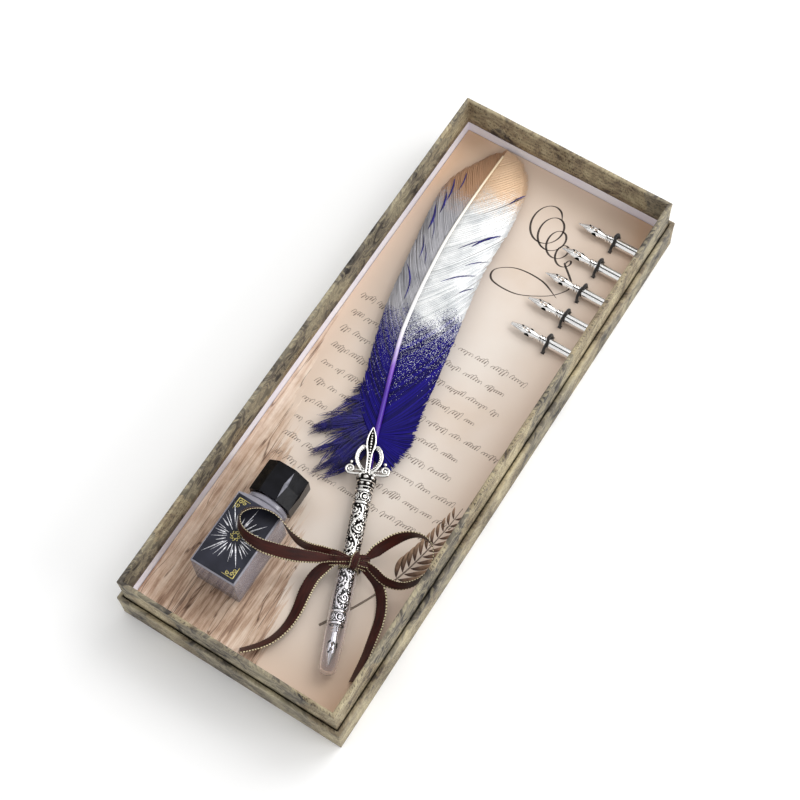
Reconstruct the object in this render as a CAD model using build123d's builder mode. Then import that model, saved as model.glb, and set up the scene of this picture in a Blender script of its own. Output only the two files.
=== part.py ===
from build123d import *
from math import cos, pi, radians, sin, tan
import os

# Quill pen set in a two-piece rigid board box.
#
# The base tray stands in its own lid, which lies open side up under it. Inside the tray a folded
# platform carries a printed card, and on the card lie a feather pen held by a ribbon, five spare
# nibs held by elastic loops, and a glass bottle of ink.
#
# Frame: X across the box, Y along it with the feather's tip at +Y, Z up. The origin is under the
# middle of the box, on the surface it stands on. Sizes are in millimetres.

# ---------------------------------------------------------------- driving dimensions

# Box
TRAY_LENGTH = 300.0
TRAY_WIDTH = 117.0
TRAY_HEIGHT = 39.3
LID_HEIGHT = 20.5
BOARD = 1.3
PAPER = 0.2
LID_CLEARANCE = 0.7
RIM_ROUNDING = 0.5
TRAY_TURN_IN = 19.0
LID_TURN_IN = 14.0

# Platform and card
CARD_DROP = 26.0
CARD_THICKNESS = 0.4
PLATFORM_BOARD = 1.2
PLATFORM_CLEARANCE = 0.3
FOLD_RADIUS = 0.9

# What lies on the card stays this far above it, or from a neighbour on another body
LYING_GAP = 0.3

# Cords are plain in section: the elastic is six-sided, and the ribbon, which is flat, four-sided
ELASTIC_SIDES = 6
RIBBON_SIDES = 4

# Spare nibs and the elastic that holds them
SPARE_NIB_COUNT = 5
SPARE_NIB_FIRST_Y = 128.7
SPARE_NIB_PITCH = 16.25
SPARE_NIB_TIP_X = 20.0
NIB_TIP_RADII = (0.30, 0.40, 0.35, 0.75, 1.05)
NIB_BLADE_LENGTH = 15.5
NIB_BLADE_RADIUS = 2.4
NIB_WIDEST = 9.6
NIB_SWELL = 1.8
NIB_SOLID_TIP = 1.8
NIB_WAIST_RADIUS = 1.75
NIB_METAL = 0.32
NIB_SLIT_WIDTH = 0.2
NIB_VENT_RADIUS = 0.55
NIB_COLLAR_LENGTH = 3.2
NIB_BEAD_RADIUS = 2.25
NIB_HEEL_LENGTH = 6.0
NIB_SHANK_LENGTH = 17.0
NIB_SHANK_RADIUS = 2.5
NIB_SHANK_WALL = 0.35
NIB_FIT = 0.02
ELASTIC_RADIUS = 0.75
ELASTIC_SPAN = 9.0
ELASTIC_FROM_TIP = 20.4
ELASTIC_KNOT_RADIUS = 1.5
ELASTIC_HOLE_CLEARANCE = 0.2

# Ink bottle, lying on its back with its cap towards +Y
BOTTLE_X = -25.0
BOTTLE_BASE_Y = -123.5
BOTTLE_WIDTH = 24.2
BOTTLE_DEPTH = 24.4
BOTTLE_BODY_LENGTH = 39.1
BOTTLE_SHOULDER_RISE = 1.5
BOTTLE_EDGE_RADIUS = 0.7
GLASS_WALL = 2.2
GLASS_BASE = 4.0
BEAD_RADIUS = 10.6
BEAD_LENGTH = 3.2
BEAD_STEP = 0.3
NECK_RADIUS = 7.4
NECK_BORE_RADIUS = 5.2
NECK_LENGTH = 13.2
INK_GAP = 0.05
LABEL_MARGIN = 0.1
LABEL_THICKNESS = 0.15
CAP_ACROSS_FLATS = 22.7
CAP_LENGTH = 17.0
CAP_SIDES = 8
CAP_TAPER = 2.5
CAP_EDGE_CUT = 0.33
CAP_NECK_CLEARANCE = 0.6
CAP_RIM_GAP = 0.5
LINER_THICKNESS = 1.2
LINER_GAP = 0.05

# Feather pen. Places along it count from the ribbon, positive towards the feather
PEN_X = 20.3
PEN_Y = -81.0
PEN_TURN = 22.0
COLLAR_RADIUS = 5.1
BARREL_BOTTOM = -31.8
BARREL_TOP = 35.5
BARREL_BOTTOM_RADIUS = 3.4
BARREL_TOP_RADIUS = 4.0
BARREL_RING_HEIGHT = 0.4
BARREL_RING_WIDTH = 1.3
BARREL_RINGS = (-31.0, -25.3, 28.0, 34.0)
SOCKET_FIT = 0.02
QUILL_SOCKET_DEPTH = 12.0
CALAMUS_RADIUS = 1.6
CALAMUS_DROP = 0.9
CROWN_PLATE = 2.4
CROWN_LEAN = 3.5
LANCE_LENGTH = 24.0
LANCE_HALF_WIDTH = 2.1
LANCE_NECK = 0.8
ARCH_HALF_SPAN = 6.2
ARCH_HEIGHT = 14.5
ARCH_BAR = 1.7
SCROLL_RADIUS = 2.2
SCROLL_BAR = 1.5
SCROLL_OFFSET = 8.2
SCROLL_PLACE = 2.2
CROWN_BALL_RADIUS = 0.9
GUARD_OPEN_END = -5.5
GUARD_CLOSED_END = -54.7
GUARD_TAPER_START = -36.0
GUARD_RADIUS = 4.7
GUARD_END_RADIUS = 4.0
GUARD_WALL = 0.75
GUARD_END_ROUNDING = 2.2

# Feather: its middle line in plan, and its height above the table along Y
VANE_THICKNESS = 0.8
VANE_GAP = 0.25
RACHIS_BASE_WIDTH = 3.0
RACHIS_TIP_WIDTH = 0.8
FEATHER_TIP = (-32.5, 146.0)

# Ribbon
RIBBON_WIDTH = 6.5
RIBBON_THICKNESS = 1.0
RIBBON_BAND_GAP = 0.3
RIBBON_SLIT_CLEARANCE = 0.4
RIBBON_RUN_RADIUS = 1.0
KNOT_LENGTH = 8.0
KNOT_HEIGHT = 3.3
KNOT_HALF_ANGLE = 55

# ---------------------------------------------------------------- dependent sizes

WALL = BOARD + 2 * PAPER
LID_LENGTH = TRAY_LENGTH + 2 * (LID_CLEARANCE + WALL)
LID_WIDTH = TRAY_WIDTH + 2 * (LID_CLEARANCE + WALL)
TRAY_BOTTOM = WALL
RIM = TRAY_BOTTOM + TRAY_HEIGHT
TRAY_FLOOR = TRAY_BOTTOM + WALL
CARD_TOP = RIM - CARD_DROP
CARD_BOTTOM = CARD_TOP - CARD_THICKNESS
PLATFORM_TOP = CARD_BOTTOM
PLATFORM_UNDERSIDE = PLATFORM_TOP - PLATFORM_BOARD
PLATFORM_LENGTH = TRAY_LENGTH - 2 * WALL - 2 * PLATFORM_CLEARANCE
PLATFORM_WIDTH = TRAY_WIDTH - 2 * WALL - 2 * PLATFORM_CLEARANCE

SPARE_NIB_HEIGHT = CARD_TOP + LYING_GAP + NIB_SHANK_RADIUS
NIB_COLLAR_END = NIB_BLADE_LENGTH + NIB_COLLAR_LENGTH

BOTTLE_AXIS_HEIGHT = CARD_TOP + BOTTLE_DEPTH / 2
BOTTLE_SHOULDER_Y = BOTTLE_BASE_Y + BOTTLE_BODY_LENGTH
BEAD_Y = BOTTLE_SHOULDER_Y + BOTTLE_SHOULDER_RISE + BEAD_STEP
NECK_TOP_Y = BEAD_Y + BEAD_LENGTH + NECK_LENGTH
CAP_RIM_Y = BEAD_Y + BEAD_LENGTH + CAP_RIM_GAP
CAP_BORE_END_Y = NECK_TOP_Y + LINER_GAP + LINER_THICKNESS

PEN_HEIGHT = CARD_TOP + LYING_GAP + COLLAR_RADIUS
PEN_ALONG = Vector(-sin(radians(PEN_TURN)), cos(radians(PEN_TURN)), 0)
PEN_ORIGIN = Vector(PEN_X, PEN_Y, PEN_HEIGHT)
PEN_AXIS = Axis(PEN_ORIGIN, PEN_ALONG)
UP = Vector(0, 0, 1)
# Profiles of the pen are drawn with x along it and y up, outlines with x along it and y across
PEN_PROFILE = Plane(origin=PEN_ORIGIN, x_dir=PEN_ALONG, z_dir=PEN_ALONG.cross(UP))
PEN_PLAN = Plane(origin=PEN_ORIGIN, x_dir=PEN_ALONG, z_dir=UP)


def plane_across(point, along):
    """The plane through a point, square to a direction, with its y axis up."""
    return Plane(origin=point, x_dir=UP.cross(along), z_dir=along)


def finish(builder, name):
    """Labels a finished piece and writes it to its own STEP file."""
    builder.part.label = name
    export_step(builder.part, f"parts/{name}.step")
    return builder.part


os.makedirs("parts", exist_ok=True)

# ---------------------------------------------------------------- lid and tray


def board_tray(length, width, bottom, top):
    """A greyboard tray: a floor and four walls of one thickness."""
    with BuildPart() as tray:
        with BuildSketch(Plane.XY.offset(bottom)):
            Rectangle(width, length)
        extrude(amount=top - bottom)
        with BuildSketch(Plane.XY.offset(bottom + BOARD)):
            Rectangle(width - 2 * BOARD, length - 2 * BOARD)
        extrude(amount=top - bottom - BOARD, mode=Mode.SUBTRACT)
    return tray


def paper_wrap(length, width, bottom, top, turn_in):
    """The printed paper round a tray: up the outside, over the rim and down the inside."""
    skirt_bottom = top - turn_in
    with BuildPart() as wrap:
        with BuildSketch(Plane.XY.offset(bottom)):
            Rectangle(width, length)
        extrude(amount=top - bottom)
        with BuildSketch(Plane.XY.offset(bottom)):
            Rectangle(width - 2 * PAPER, length - 2 * PAPER)
        extrude(amount=top - PAPER - bottom, mode=Mode.SUBTRACT)
        with BuildSketch(Plane.XY.offset(skirt_bottom)):
            Rectangle(width - 2 * (PAPER + BOARD), length - 2 * (PAPER + BOARD))
        extrude(amount=turn_in)
        with BuildSketch(Plane.XY.offset(skirt_bottom)):
            Rectangle(width - 2 * WALL, length - 2 * WALL)
        extrude(amount=turn_in, mode=Mode.SUBTRACT)
        fillet(wrap.edges().group_by(Axis.Z)[-1], radius=RIM_ROUNDING)
    return wrap


def paper_sheet(length, width, bottom):
    """A flat sheet of paper, one thickness high."""
    with BuildPart() as sheet:
        with BuildSketch(Plane.XY.offset(bottom)):
            Rectangle(width, length)
        extrude(amount=PAPER)
    return sheet


finish(paper_sheet(LID_LENGTH, LID_WIDTH, 0), "lid_face_paper")
finish(board_tray(LID_LENGTH - 2 * PAPER, LID_WIDTH - 2 * PAPER, PAPER, LID_HEIGHT - PAPER), "lid_board")
finish(paper_wrap(LID_LENGTH, LID_WIDTH, PAPER, LID_HEIGHT, LID_TURN_IN), "lid_wrap")
finish(paper_sheet(LID_LENGTH - 2 * WALL, LID_WIDTH - 2 * WALL, PAPER + BOARD), "lid_lining")

finish(paper_sheet(TRAY_LENGTH, TRAY_WIDTH, TRAY_BOTTOM), "tray_base_paper")
finish(
    board_tray(TRAY_LENGTH - 2 * PAPER, TRAY_WIDTH - 2 * PAPER, TRAY_BOTTOM + PAPER, RIM - PAPER),
    "tray_board",
)
finish(paper_wrap(TRAY_LENGTH, TRAY_WIDTH, TRAY_BOTTOM + PAPER, RIM, TRAY_TURN_IN), "tray_wrap")

# White paper over the tray's floor and up its walls, to the lower edge of the turned-in print
with BuildPart() as tray_lining:
    with BuildSketch(Plane.XY.offset(TRAY_FLOOR - PAPER)):
        Rectangle(TRAY_WIDTH - 2 * (PAPER + BOARD), TRAY_LENGTH - 2 * (PAPER + BOARD))
    extrude(amount=RIM - TRAY_TURN_IN - TRAY_FLOOR + PAPER)
    with BuildSketch(Plane.XY.offset(TRAY_FLOOR)):
        Rectangle(TRAY_WIDTH - 2 * WALL, TRAY_LENGTH - 2 * WALL)
    extrude(amount=RIM - TRAY_TURN_IN - TRAY_FLOOR, mode=Mode.SUBTRACT)
finish(tray_lining, "tray_lining")

# ---------------------------------------------------------------- platform and card

SPARE_NIB_YS = [SPARE_NIB_FIRST_Y - SPARE_NIB_PITCH * k for k in range(SPARE_NIB_COUNT)]
ELASTIC_X = SPARE_NIB_TIP_X + ELASTIC_FROM_TIP
ELASTIC_HOLES = [(ELASTIC_X, y + side * ELASTIC_SPAN / 2) for y in SPARE_NIB_YS for side in (-1, 1)]


def barrel_radius(place):
    """The barrel tapers evenly from its top to its bottom."""
    share = (place - BARREL_BOTTOM) / (BARREL_TOP - BARREL_BOTTOM)
    return BARREL_BOTTOM_RADIUS + share * (BARREL_TOP_RADIUS - BARREL_BOTTOM_RADIUS)


BAND_INNER_RADIUS = barrel_radius(RIBBON_WIDTH / 2) + RIBBON_BAND_GAP
BAND_OUTER_RADIUS = BAND_INNER_RADIUS + RIBBON_THICKNESS
SLIT_LENGTH = RIBBON_WIDTH + 2 * RIBBON_SLIT_CLEARANCE
SLIT_WIDTH = RIBBON_THICKNESS + 2 * RIBBON_SLIT_CLEARANCE
SLIT_OFFSET = (BAND_INNER_RADIUS + BAND_OUTER_RADIUS) / 2


# What punches the elastic's square holes and the ribbon's two slits through card and platform
elastic_hole = 2 * (ELASTIC_RADIUS + ELASTIC_HOLE_CLEARANCE)
with BuildPart() as punches:
    with BuildSketch(Plane.XY.offset(PLATFORM_UNDERSIDE - 1)):
        with Locations(*ELASTIC_HOLES):
            Rectangle(elastic_hole, elastic_hole)
    extrude(amount=CARD_TOP - PLATFORM_UNDERSIDE + 2)
    with BuildSketch(PEN_PLAN.offset(PLATFORM_UNDERSIDE - 1 - PEN_HEIGHT)):
        with Locations((0, SLIT_OFFSET), (0, -SLIT_OFFSET)):
            Rectangle(SLIT_LENGTH, SLIT_WIDTH)
    extrude(amount=CARD_TOP - PLATFORM_UNDERSIDE + 2)

with BuildPart() as platform:
    with BuildSketch(Plane.XY.offset(TRAY_FLOOR)):
        Rectangle(PLATFORM_WIDTH, PLATFORM_LENGTH)
    extrude(amount=PLATFORM_TOP - TRAY_FLOOR)
    fillet(platform.edges().group_by(Axis.Z)[-1], radius=FOLD_RADIUS)
    with BuildSketch(Plane.XY.offset(TRAY_FLOOR)):
        Rectangle(PLATFORM_WIDTH - 2 * PLATFORM_BOARD, PLATFORM_LENGTH - 2 * PLATFORM_BOARD)
    extrude(amount=PLATFORM_UNDERSIDE - TRAY_FLOOR, mode=Mode.SUBTRACT)
    add(punches.part, mode=Mode.SUBTRACT)
finish(platform, "platform")

with BuildPart() as art_card:
    with BuildSketch(Plane.XY.offset(CARD_BOTTOM)):
        Rectangle(PLATFORM_WIDTH, PLATFORM_LENGTH)
    extrude(amount=CARD_THICKNESS)
    add(punches.part, mode=Mode.SUBTRACT)
finish(art_card, "art_card")

# ---------------------------------------------------------------- nibs


def nib_blade(plane, tip_radius):
    """A pressed nib: a half shell that swells from its tip and narrows to a waist, with a slit and
    a vent, then a beaded collar and a round heel that plugs into the shank. The plane's x axis
    runs from the tip to the heel, and its y axis is up."""
    plan = Plane(origin=plane.origin, x_dir=plane.x_dir, z_dir=plane.y_dir)
    axis = Axis(plane.origin, plane.x_dir)
    heel_radius = NIB_SHANK_RADIUS - NIB_SHANK_WALL - NIB_FIT
    with BuildPart() as blade:
        with BuildSketch(plan):
            with BuildLine():
                Polyline(
                    (0, tip_radius),
                    (NIB_WIDEST - NIB_SWELL, NIB_BLADE_RADIUS),
                    (NIB_WIDEST, NIB_BLADE_RADIUS),
                    (NIB_BLADE_LENGTH, NIB_WAIST_RADIUS),
                    (NIB_BLADE_LENGTH, NIB_WAIST_RADIUS - NIB_METAL),
                    (NIB_WIDEST, NIB_BLADE_RADIUS - NIB_METAL),
                    (NIB_SOLID_TIP, tip_radius * 0.5),
                    (0, tip_radius * 0.5),
                    (0, tip_radius),
                )
            make_face()
        revolve(axis=axis, revolution_arc=180)
        with BuildSketch(plan):
            with Locations((NIB_WIDEST / 2, 0)):
                Rectangle(NIB_WIDEST, NIB_SLIT_WIDTH)
            with Locations((NIB_WIDEST, 0)):
                Circle(NIB_VENT_RADIUS)
        extrude(amount=NIB_BLADE_RADIUS * 2, mode=Mode.SUBTRACT)
        with BuildSketch(plane):
            with BuildLine():
                start = NIB_BLADE_LENGTH
                groove = NIB_WAIST_RADIUS
                Polyline(
                    (start, 0),
                    (start, groove),
                    (start + NIB_COLLAR_LENGTH / 4, NIB_BEAD_RADIUS),
                    (start + NIB_COLLAR_LENGTH / 2, groove),
                    (NIB_COLLAR_END, NIB_BEAD_RADIUS),
                    (NIB_COLLAR_END, heel_radius),
                    (NIB_COLLAR_END + NIB_HEEL_LENGTH, heel_radius),
                    (NIB_COLLAR_END + NIB_HEEL_LENGTH, 0),
                    (start, 0),
                )
            make_face()
        revolve(axis=axis)
    return blade


def nib_shank(plane):
    """The drawn tube behind a nib."""
    start = plane.origin + plane.x_dir * NIB_COLLAR_END
    with BuildPart() as shank:
        with BuildSketch(Plane(origin=start, x_dir=plane.y_dir, z_dir=plane.x_dir)):
            Circle(NIB_SHANK_RADIUS)
            Circle(NIB_SHANK_RADIUS - NIB_SHANK_WALL, mode=Mode.SUBTRACT)
        extrude(amount=NIB_SHANK_LENGTH)
    return shank


for number, (nib_y, tip) in enumerate(zip(SPARE_NIB_YS, NIB_TIP_RADII), start=1):
    nib_plane = Plane(origin=(SPARE_NIB_TIP_X, nib_y, SPARE_NIB_HEIGHT), x_dir=(1, 0, 0), z_dir=(0, -1, 0))
    finish(nib_blade(nib_plane, tip), f"nib_blade_{number}")
    finish(nib_shank(nib_plane), f"nib_shank_{number}")

# Each elastic comes up through one hole, goes over the shank and down the other, and is
# knotted under the platform at both ends
KNOT_CENTRE_HEIGHT = PLATFORM_UNDERSIDE - ELASTIC_KNOT_RADIUS
ARCH_CENTRE_HEIGHT = SPARE_NIB_HEIGHT + NIB_SHANK_RADIUS + LYING_GAP + ELASTIC_RADIUS - ELASTIC_SPAN / 2
for number, nib_y in enumerate(SPARE_NIB_YS, start=1):
    leg_feet = [(ELASTIC_X, nib_y + side * ELASTIC_SPAN / 2, KNOT_CENTRE_HEIGHT) for side in (-1, 1)]
    leg_tops = [(x, y, ARCH_CENTRE_HEIGHT) for x, y, _ in leg_feet]
    with BuildPart() as elastic:
        with BuildLine() as route:
            Line(leg_feet[0], leg_tops[0])
            arch_top = (ELASTIC_X, nib_y, ARCH_CENTRE_HEIGHT + ELASTIC_SPAN / 2)
            ThreePointArc(leg_tops[0], arch_top, leg_tops[1])
            Line(leg_tops[1], leg_feet[1])
        with BuildSketch(Plane(origin=leg_feet[0], z_dir=(0, 0, 1))):
            RegularPolygon(ELASTIC_RADIUS, ELASTIC_SIDES)
        sweep(path=route.line)
        with BuildSketch(Plane.XY.offset(PLATFORM_UNDERSIDE - 2 * ELASTIC_KNOT_RADIUS)):
            with Locations(*[(x, y) for x, y, _ in leg_feet]):
                RegularPolygon(ELASTIC_KNOT_RADIUS, ELASTIC_SIDES)
        extrude(amount=2 * ELASTIC_KNOT_RADIUS)
    finish(elastic, f"elastic_loop_{number}")

# ---------------------------------------------------------------- ink bottle

BOTTLE_ALONG = Vector(0, 1, 0)


def bottle_plane(y):
    """The plane across the bottle at one place along it."""
    return plane_across(Vector(BOTTLE_X, y, BOTTLE_AXIS_HEIGHT), BOTTLE_ALONG)


def bottle_block(inset, base_y, shoulder_y, edge_radius):
    """The bottle's body as one block: square, with an arched shoulder, inset on every side."""
    rise = BOTTLE_SHOULDER_RISE
    half = BOTTLE_WIDTH / 2 - inset
    with BuildPart() as block:
        with BuildSketch(Plane.XY.offset(CARD_TOP + inset)):
            with BuildLine():
                Polyline(
                    (BOTTLE_X - half, shoulder_y),
                    (BOTTLE_X - half, base_y),
                    (BOTTLE_X + half, base_y),
                    (BOTTLE_X + half, shoulder_y),
                )
                ThreePointArc(
                    (BOTTLE_X + half, shoulder_y),
                    (BOTTLE_X, shoulder_y + rise),
                    (BOTTLE_X - half, shoulder_y),
                )
            make_face()
        extrude(amount=BOTTLE_DEPTH - 2 * inset)
        if edge_radius:
            fillet(block.edges().filter_by(Axis.Y), radius=edge_radius)
            chamfer(block.faces().sort_by(Axis.Y)[0].edges(), length=edge_radius / 2)
            chamfer(block.faces().sort_by(Axis.Y)[-1].edges(), length=edge_radius / 2)
    return block


with BuildPart() as bottle_glass:
    add(bottle_block(0, BOTTLE_BASE_Y, BOTTLE_SHOULDER_Y, BOTTLE_EDGE_RADIUS).part)
    with BuildSketch(bottle_plane(BOTTLE_SHOULDER_Y - BOTTLE_EDGE_RADIUS)):
        Circle(NECK_RADIUS)
    extrude(amount=NECK_TOP_Y - BOTTLE_SHOULDER_Y + BOTTLE_EDGE_RADIUS)
    with BuildSketch(bottle_plane(BEAD_Y)):
        Circle(BEAD_RADIUS)
    bead = extrude(amount=BEAD_LENGTH)
    chamfer(bead.edges().filter_by(GeomType.CIRCLE).group_by(SortBy.RADIUS)[-1], length=BEAD_LENGTH / 4)
    hollow = bottle_block(GLASS_WALL, BOTTLE_BASE_Y + GLASS_BASE, BOTTLE_SHOULDER_Y - GLASS_WALL, 0)
    add(hollow.part, mode=Mode.SUBTRACT)
    with BuildSketch(bottle_plane(BOTTLE_SHOULDER_Y - GLASS_WALL - BOTTLE_EDGE_RADIUS)):
        Circle(NECK_BORE_RADIUS)
    extrude(amount=BOTTLE_BODY_LENGTH, mode=Mode.SUBTRACT)
finish(bottle_glass, "bottle_glass")

ink_inset = GLASS_WALL + INK_GAP
bottle_ink = bottle_block(
    ink_inset,
    BOTTLE_BASE_Y + GLASS_BASE + INK_GAP,
    BOTTLE_SHOULDER_Y - ink_inset,
    0,
)
finish(bottle_ink, "bottle_ink")

with BuildPart() as bottle_label:
    label_middle = (BOTTLE_X, BOTTLE_BASE_Y + BOTTLE_BODY_LENGTH / 2)
    with BuildSketch(Plane.XY.offset(CARD_TOP + BOTTLE_DEPTH)):
        with Locations(label_middle):
            Rectangle(
                BOTTLE_WIDTH - 2 * (BOTTLE_EDGE_RADIUS + LABEL_MARGIN),
                BOTTLE_BODY_LENGTH - 2 * (BOTTLE_EDGE_RADIUS + LABEL_MARGIN),
            )
    extrude(amount=LABEL_THICKNESS)
finish(bottle_label, "bottle_label")

# The cap is an eight-sided prism, widest at its middle. Flat cuts along its edges leave a
# lozenge on each, widest where the cap is
with BuildPart() as bottle_cap:
    middle_y = CAP_RIM_Y + CAP_LENGTH / 2
    flat_turn = 180 / CAP_SIDES
    for direction in (1, -1):
        middle = plane_across(Vector(BOTTLE_X, middle_y, BOTTLE_AXIS_HEIGHT), BOTTLE_ALONG * direction)
        with BuildSketch(middle):
            RegularPolygon(CAP_ACROSS_FLATS / 2, CAP_SIDES, major_radius=False, rotation=flat_turn)
        extrude(amount=CAP_LENGTH / 2, taper=CAP_TAPER)
    corner_radius = CAP_ACROSS_FLATS / 2 / cos(pi / CAP_SIDES)
    with BuildSketch(bottle_plane(CAP_RIM_Y)):
        RegularPolygon(corner_radius - CAP_EDGE_CUT, CAP_SIDES, major_radius=False)
    extrude(amount=CAP_LENGTH, mode=Mode.INTERSECT)
    with BuildSketch(bottle_plane(CAP_RIM_Y)):
        Circle(NECK_RADIUS + CAP_NECK_CLEARANCE)
    extrude(amount=CAP_BORE_END_Y - CAP_RIM_Y, mode=Mode.SUBTRACT)
finish(bottle_cap, "bottle_cap")

with BuildPart() as cap_liner:
    with BuildSketch(bottle_plane(NECK_TOP_Y + LINER_GAP)):
        Circle(NECK_RADIUS + CAP_NECK_CLEARANCE - LINER_GAP)
    extrude(amount=LINER_THICKNESS)
finish(cap_liner, "cap_liner")

# ---------------------------------------------------------------- pen


def pen_point(along, across, up=0.0):
    """A point by its place along the pen, to the right of it and above its axis."""
    return PEN_ORIGIN + PEN_ALONG * along + PEN_ALONG.cross(UP) * across + UP * up


def pen_plane(place, along=1):
    """The plane across the pen at one place along it, facing the feather or the nib."""
    return plane_across(PEN_ORIGIN + PEN_ALONG * place, PEN_ALONG * along)


PEN_NIB_TIP = BARREL_BOTTOM - NIB_COLLAR_END
PEN_NIB_SOCKET_DEPTH = NIB_SHANK_LENGTH + 0.5

# One turned profile, with a raised ring at each end of its two plain bands
ring_points = []
for ring_place in BARREL_RINGS:
    for step, rise in ((-0.5, 0), (0, 1), (0.5, 0)):
        place = ring_place + step * BARREL_RING_WIDTH
        ring_points.append((place, barrel_radius(place) + rise * BARREL_RING_HEIGHT))

with BuildPart() as pen_barrel:
    with BuildSketch(PEN_PROFILE):
        with BuildLine():
            Polyline(
                (BARREL_BOTTOM, 0),
                (BARREL_BOTTOM, BARREL_BOTTOM_RADIUS),
                *ring_points,
                (BARREL_TOP, BARREL_TOP_RADIUS),
                (BARREL_TOP, 0),
                (BARREL_BOTTOM, 0),
            )
        make_face()
    revolve(axis=PEN_AXIS)
    with BuildSketch(pen_plane(BARREL_BOTTOM)):
        Circle(NIB_SHANK_RADIUS + SOCKET_FIT)
    extrude(amount=PEN_NIB_SOCKET_DEPTH, mode=Mode.SUBTRACT)
    with BuildSketch(pen_plane(BARREL_TOP, -1)):
        with Locations((0, -CALAMUS_DROP)):
            Circle(CALAMUS_RADIUS + SOCKET_FIT)
    extrude(amount=QUILL_SOCKET_DEPTH, mode=Mode.SUBTRACT)
finish(pen_barrel, "pen_barrel")

# The nib in the pen points down its axis, so its blade's profile runs the other way
pen_nib_plane = Plane(
    origin=PEN_ORIGIN + PEN_ALONG * PEN_NIB_TIP, x_dir=PEN_ALONG, z_dir=PEN_ALONG.cross(UP)
)
finish(nib_blade(pen_nib_plane, NIB_TIP_RADII[0]), "pen_nib_blade")
finish(nib_shank(pen_nib_plane), "pen_nib_shank")

# The head is a flat casting: a foliate collar, a lance leaf, an arch on each side of it, and an
# outer scroll on each side with a small ball above it. It leans a little to the left
COLLAR_LENGTH = 7.0
COLLAR_TOP = BARREL_TOP + COLLAR_LENGTH
HEAD_LIFT = CALAMUS_RADIUS - CALAMUS_DROP + LYING_GAP
HEAD_PLAN = Plane(
    origin=PEN_ORIGIN + PEN_ALONG * COLLAR_TOP + UP * HEAD_LIFT,
    x_dir=PEN_ALONG.rotate(Axis.Z, CROWN_LEAN),
    z_dir=UP,
)

with BuildPart() as pen_crown:
    with BuildSketch(PEN_PROFILE):
        with BuildLine():
            Polyline(
                (BARREL_TOP, 0),
                (BARREL_TOP, BARREL_TOP_RADIUS + 0.3),
                (BARREL_TOP + 0.35 * COLLAR_LENGTH, COLLAR_RADIUS - 0.4),
                (BARREL_TOP + 0.5 * COLLAR_LENGTH, COLLAR_RADIUS - 0.9),
                (BARREL_TOP + 0.8 * COLLAR_LENGTH, COLLAR_RADIUS),
                (COLLAR_TOP, COLLAR_RADIUS - 1.2),
                (COLLAR_TOP, 0),
                (BARREL_TOP, 0),
            )
        make_face()
    revolve(axis=PEN_AXIS)
    with BuildSketch(HEAD_PLAN):
        # Stem between the collar and the arches
        with Locations((0.5, 0)):
            Rectangle(5, 6.5)
        # Lance leaf
        with BuildLine():
            neck = Line((0, LANCE_NECK), (0.45 * LANCE_LENGTH, LANCE_NECK))
            leaf = ThreePointArc(neck @ 1, (0.68 * LANCE_LENGTH, LANCE_HALF_WIDTH), (LANCE_LENGTH, 0))
            mirror(leaf, about=Plane.XZ)
            mirror(neck, about=Plane.XZ)
            Line((0, LANCE_NECK), (0, -LANCE_NECK))
        make_face()
        # On each side an arch, a scroll that curls up and in below it, and the ball above that
        for side in (1, -1):
            arch_side = (0.5 * ARCH_HEIGHT, side * ARCH_HALF_SPAN)
            arch_end = (0.82 * ARCH_HEIGHT, side)
            with BuildLine():
                ThreePointArc((0, side), (0.16 * ARCH_HEIGHT, side * 0.75 * ARCH_HALF_SPAN), arch_side)
                ThreePointArc(arch_side, (0.95 * ARCH_HEIGHT, side * 0.6 * ARCH_HALF_SPAN), arch_end)
                offset(amount=ARCH_BAR / 2)
            make_face()
            scroll_foot = (SCROLL_PLACE - SCROLL_RADIUS, side * SCROLL_OFFSET)
            scroll_end = (SCROLL_PLACE + 0.4, side * (SCROLL_OFFSET - 0.7 * SCROLL_RADIUS))
            with BuildLine():
                Line((0.2, side * 1.5), scroll_foot)
                ThreePointArc(
                    scroll_foot,
                    (SCROLL_PLACE, side * (SCROLL_OFFSET + SCROLL_RADIUS)),
                    (SCROLL_PLACE + SCROLL_RADIUS, side * SCROLL_OFFSET),
                )
                TangentArc(
                    (SCROLL_PLACE + SCROLL_RADIUS, side * SCROLL_OFFSET),
                    scroll_end,
                    tangent=(0, -side),
                )
                offset(amount=SCROLL_BAR / 2)
            make_face()
            with Locations((SCROLL_PLACE + 1.45 * SCROLL_RADIUS, side * SCROLL_OFFSET)):
                Circle(CROWN_BALL_RADIUS)
    extrude(amount=CROWN_PLATE)
    with BuildSketch(pen_plane(BARREL_TOP - 1)):
        with Locations((0, -CALAMUS_DROP)):
            Circle(CALAMUS_RADIUS + SOCKET_FIT)
    extrude(amount=COLLAR_LENGTH + 12, mode=Mode.SUBTRACT)
finish(pen_crown, "pen_crown")

# Soft clear tube over the nib and the lower barrel
with BuildPart() as nib_guard:
    with BuildSketch(PEN_PROFILE):
        with BuildLine():
            end = GUARD_CLOSED_END
            Polyline(
                (end, 0),
                (end, GUARD_END_RADIUS - GUARD_END_ROUNDING),
                (end + GUARD_END_ROUNDING, GUARD_END_RADIUS),
                (GUARD_TAPER_START, GUARD_RADIUS),
                (GUARD_OPEN_END, GUARD_RADIUS),
                (GUARD_OPEN_END, GUARD_RADIUS - GUARD_WALL),
                (GUARD_TAPER_START + 1, GUARD_RADIUS - GUARD_WALL),
                (end + GUARD_END_ROUNDING, GUARD_END_RADIUS - GUARD_WALL),
                (end + GUARD_WALL * 1.5, GUARD_END_RADIUS - GUARD_END_ROUNDING),
                (end + GUARD_WALL * 1.5, 0),
                (end, 0),
            )
        make_face()
    revolve(axis=PEN_AXIS)
finish(nib_guard, "nib_guard")

# ---------------------------------------------------------------- feather

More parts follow.
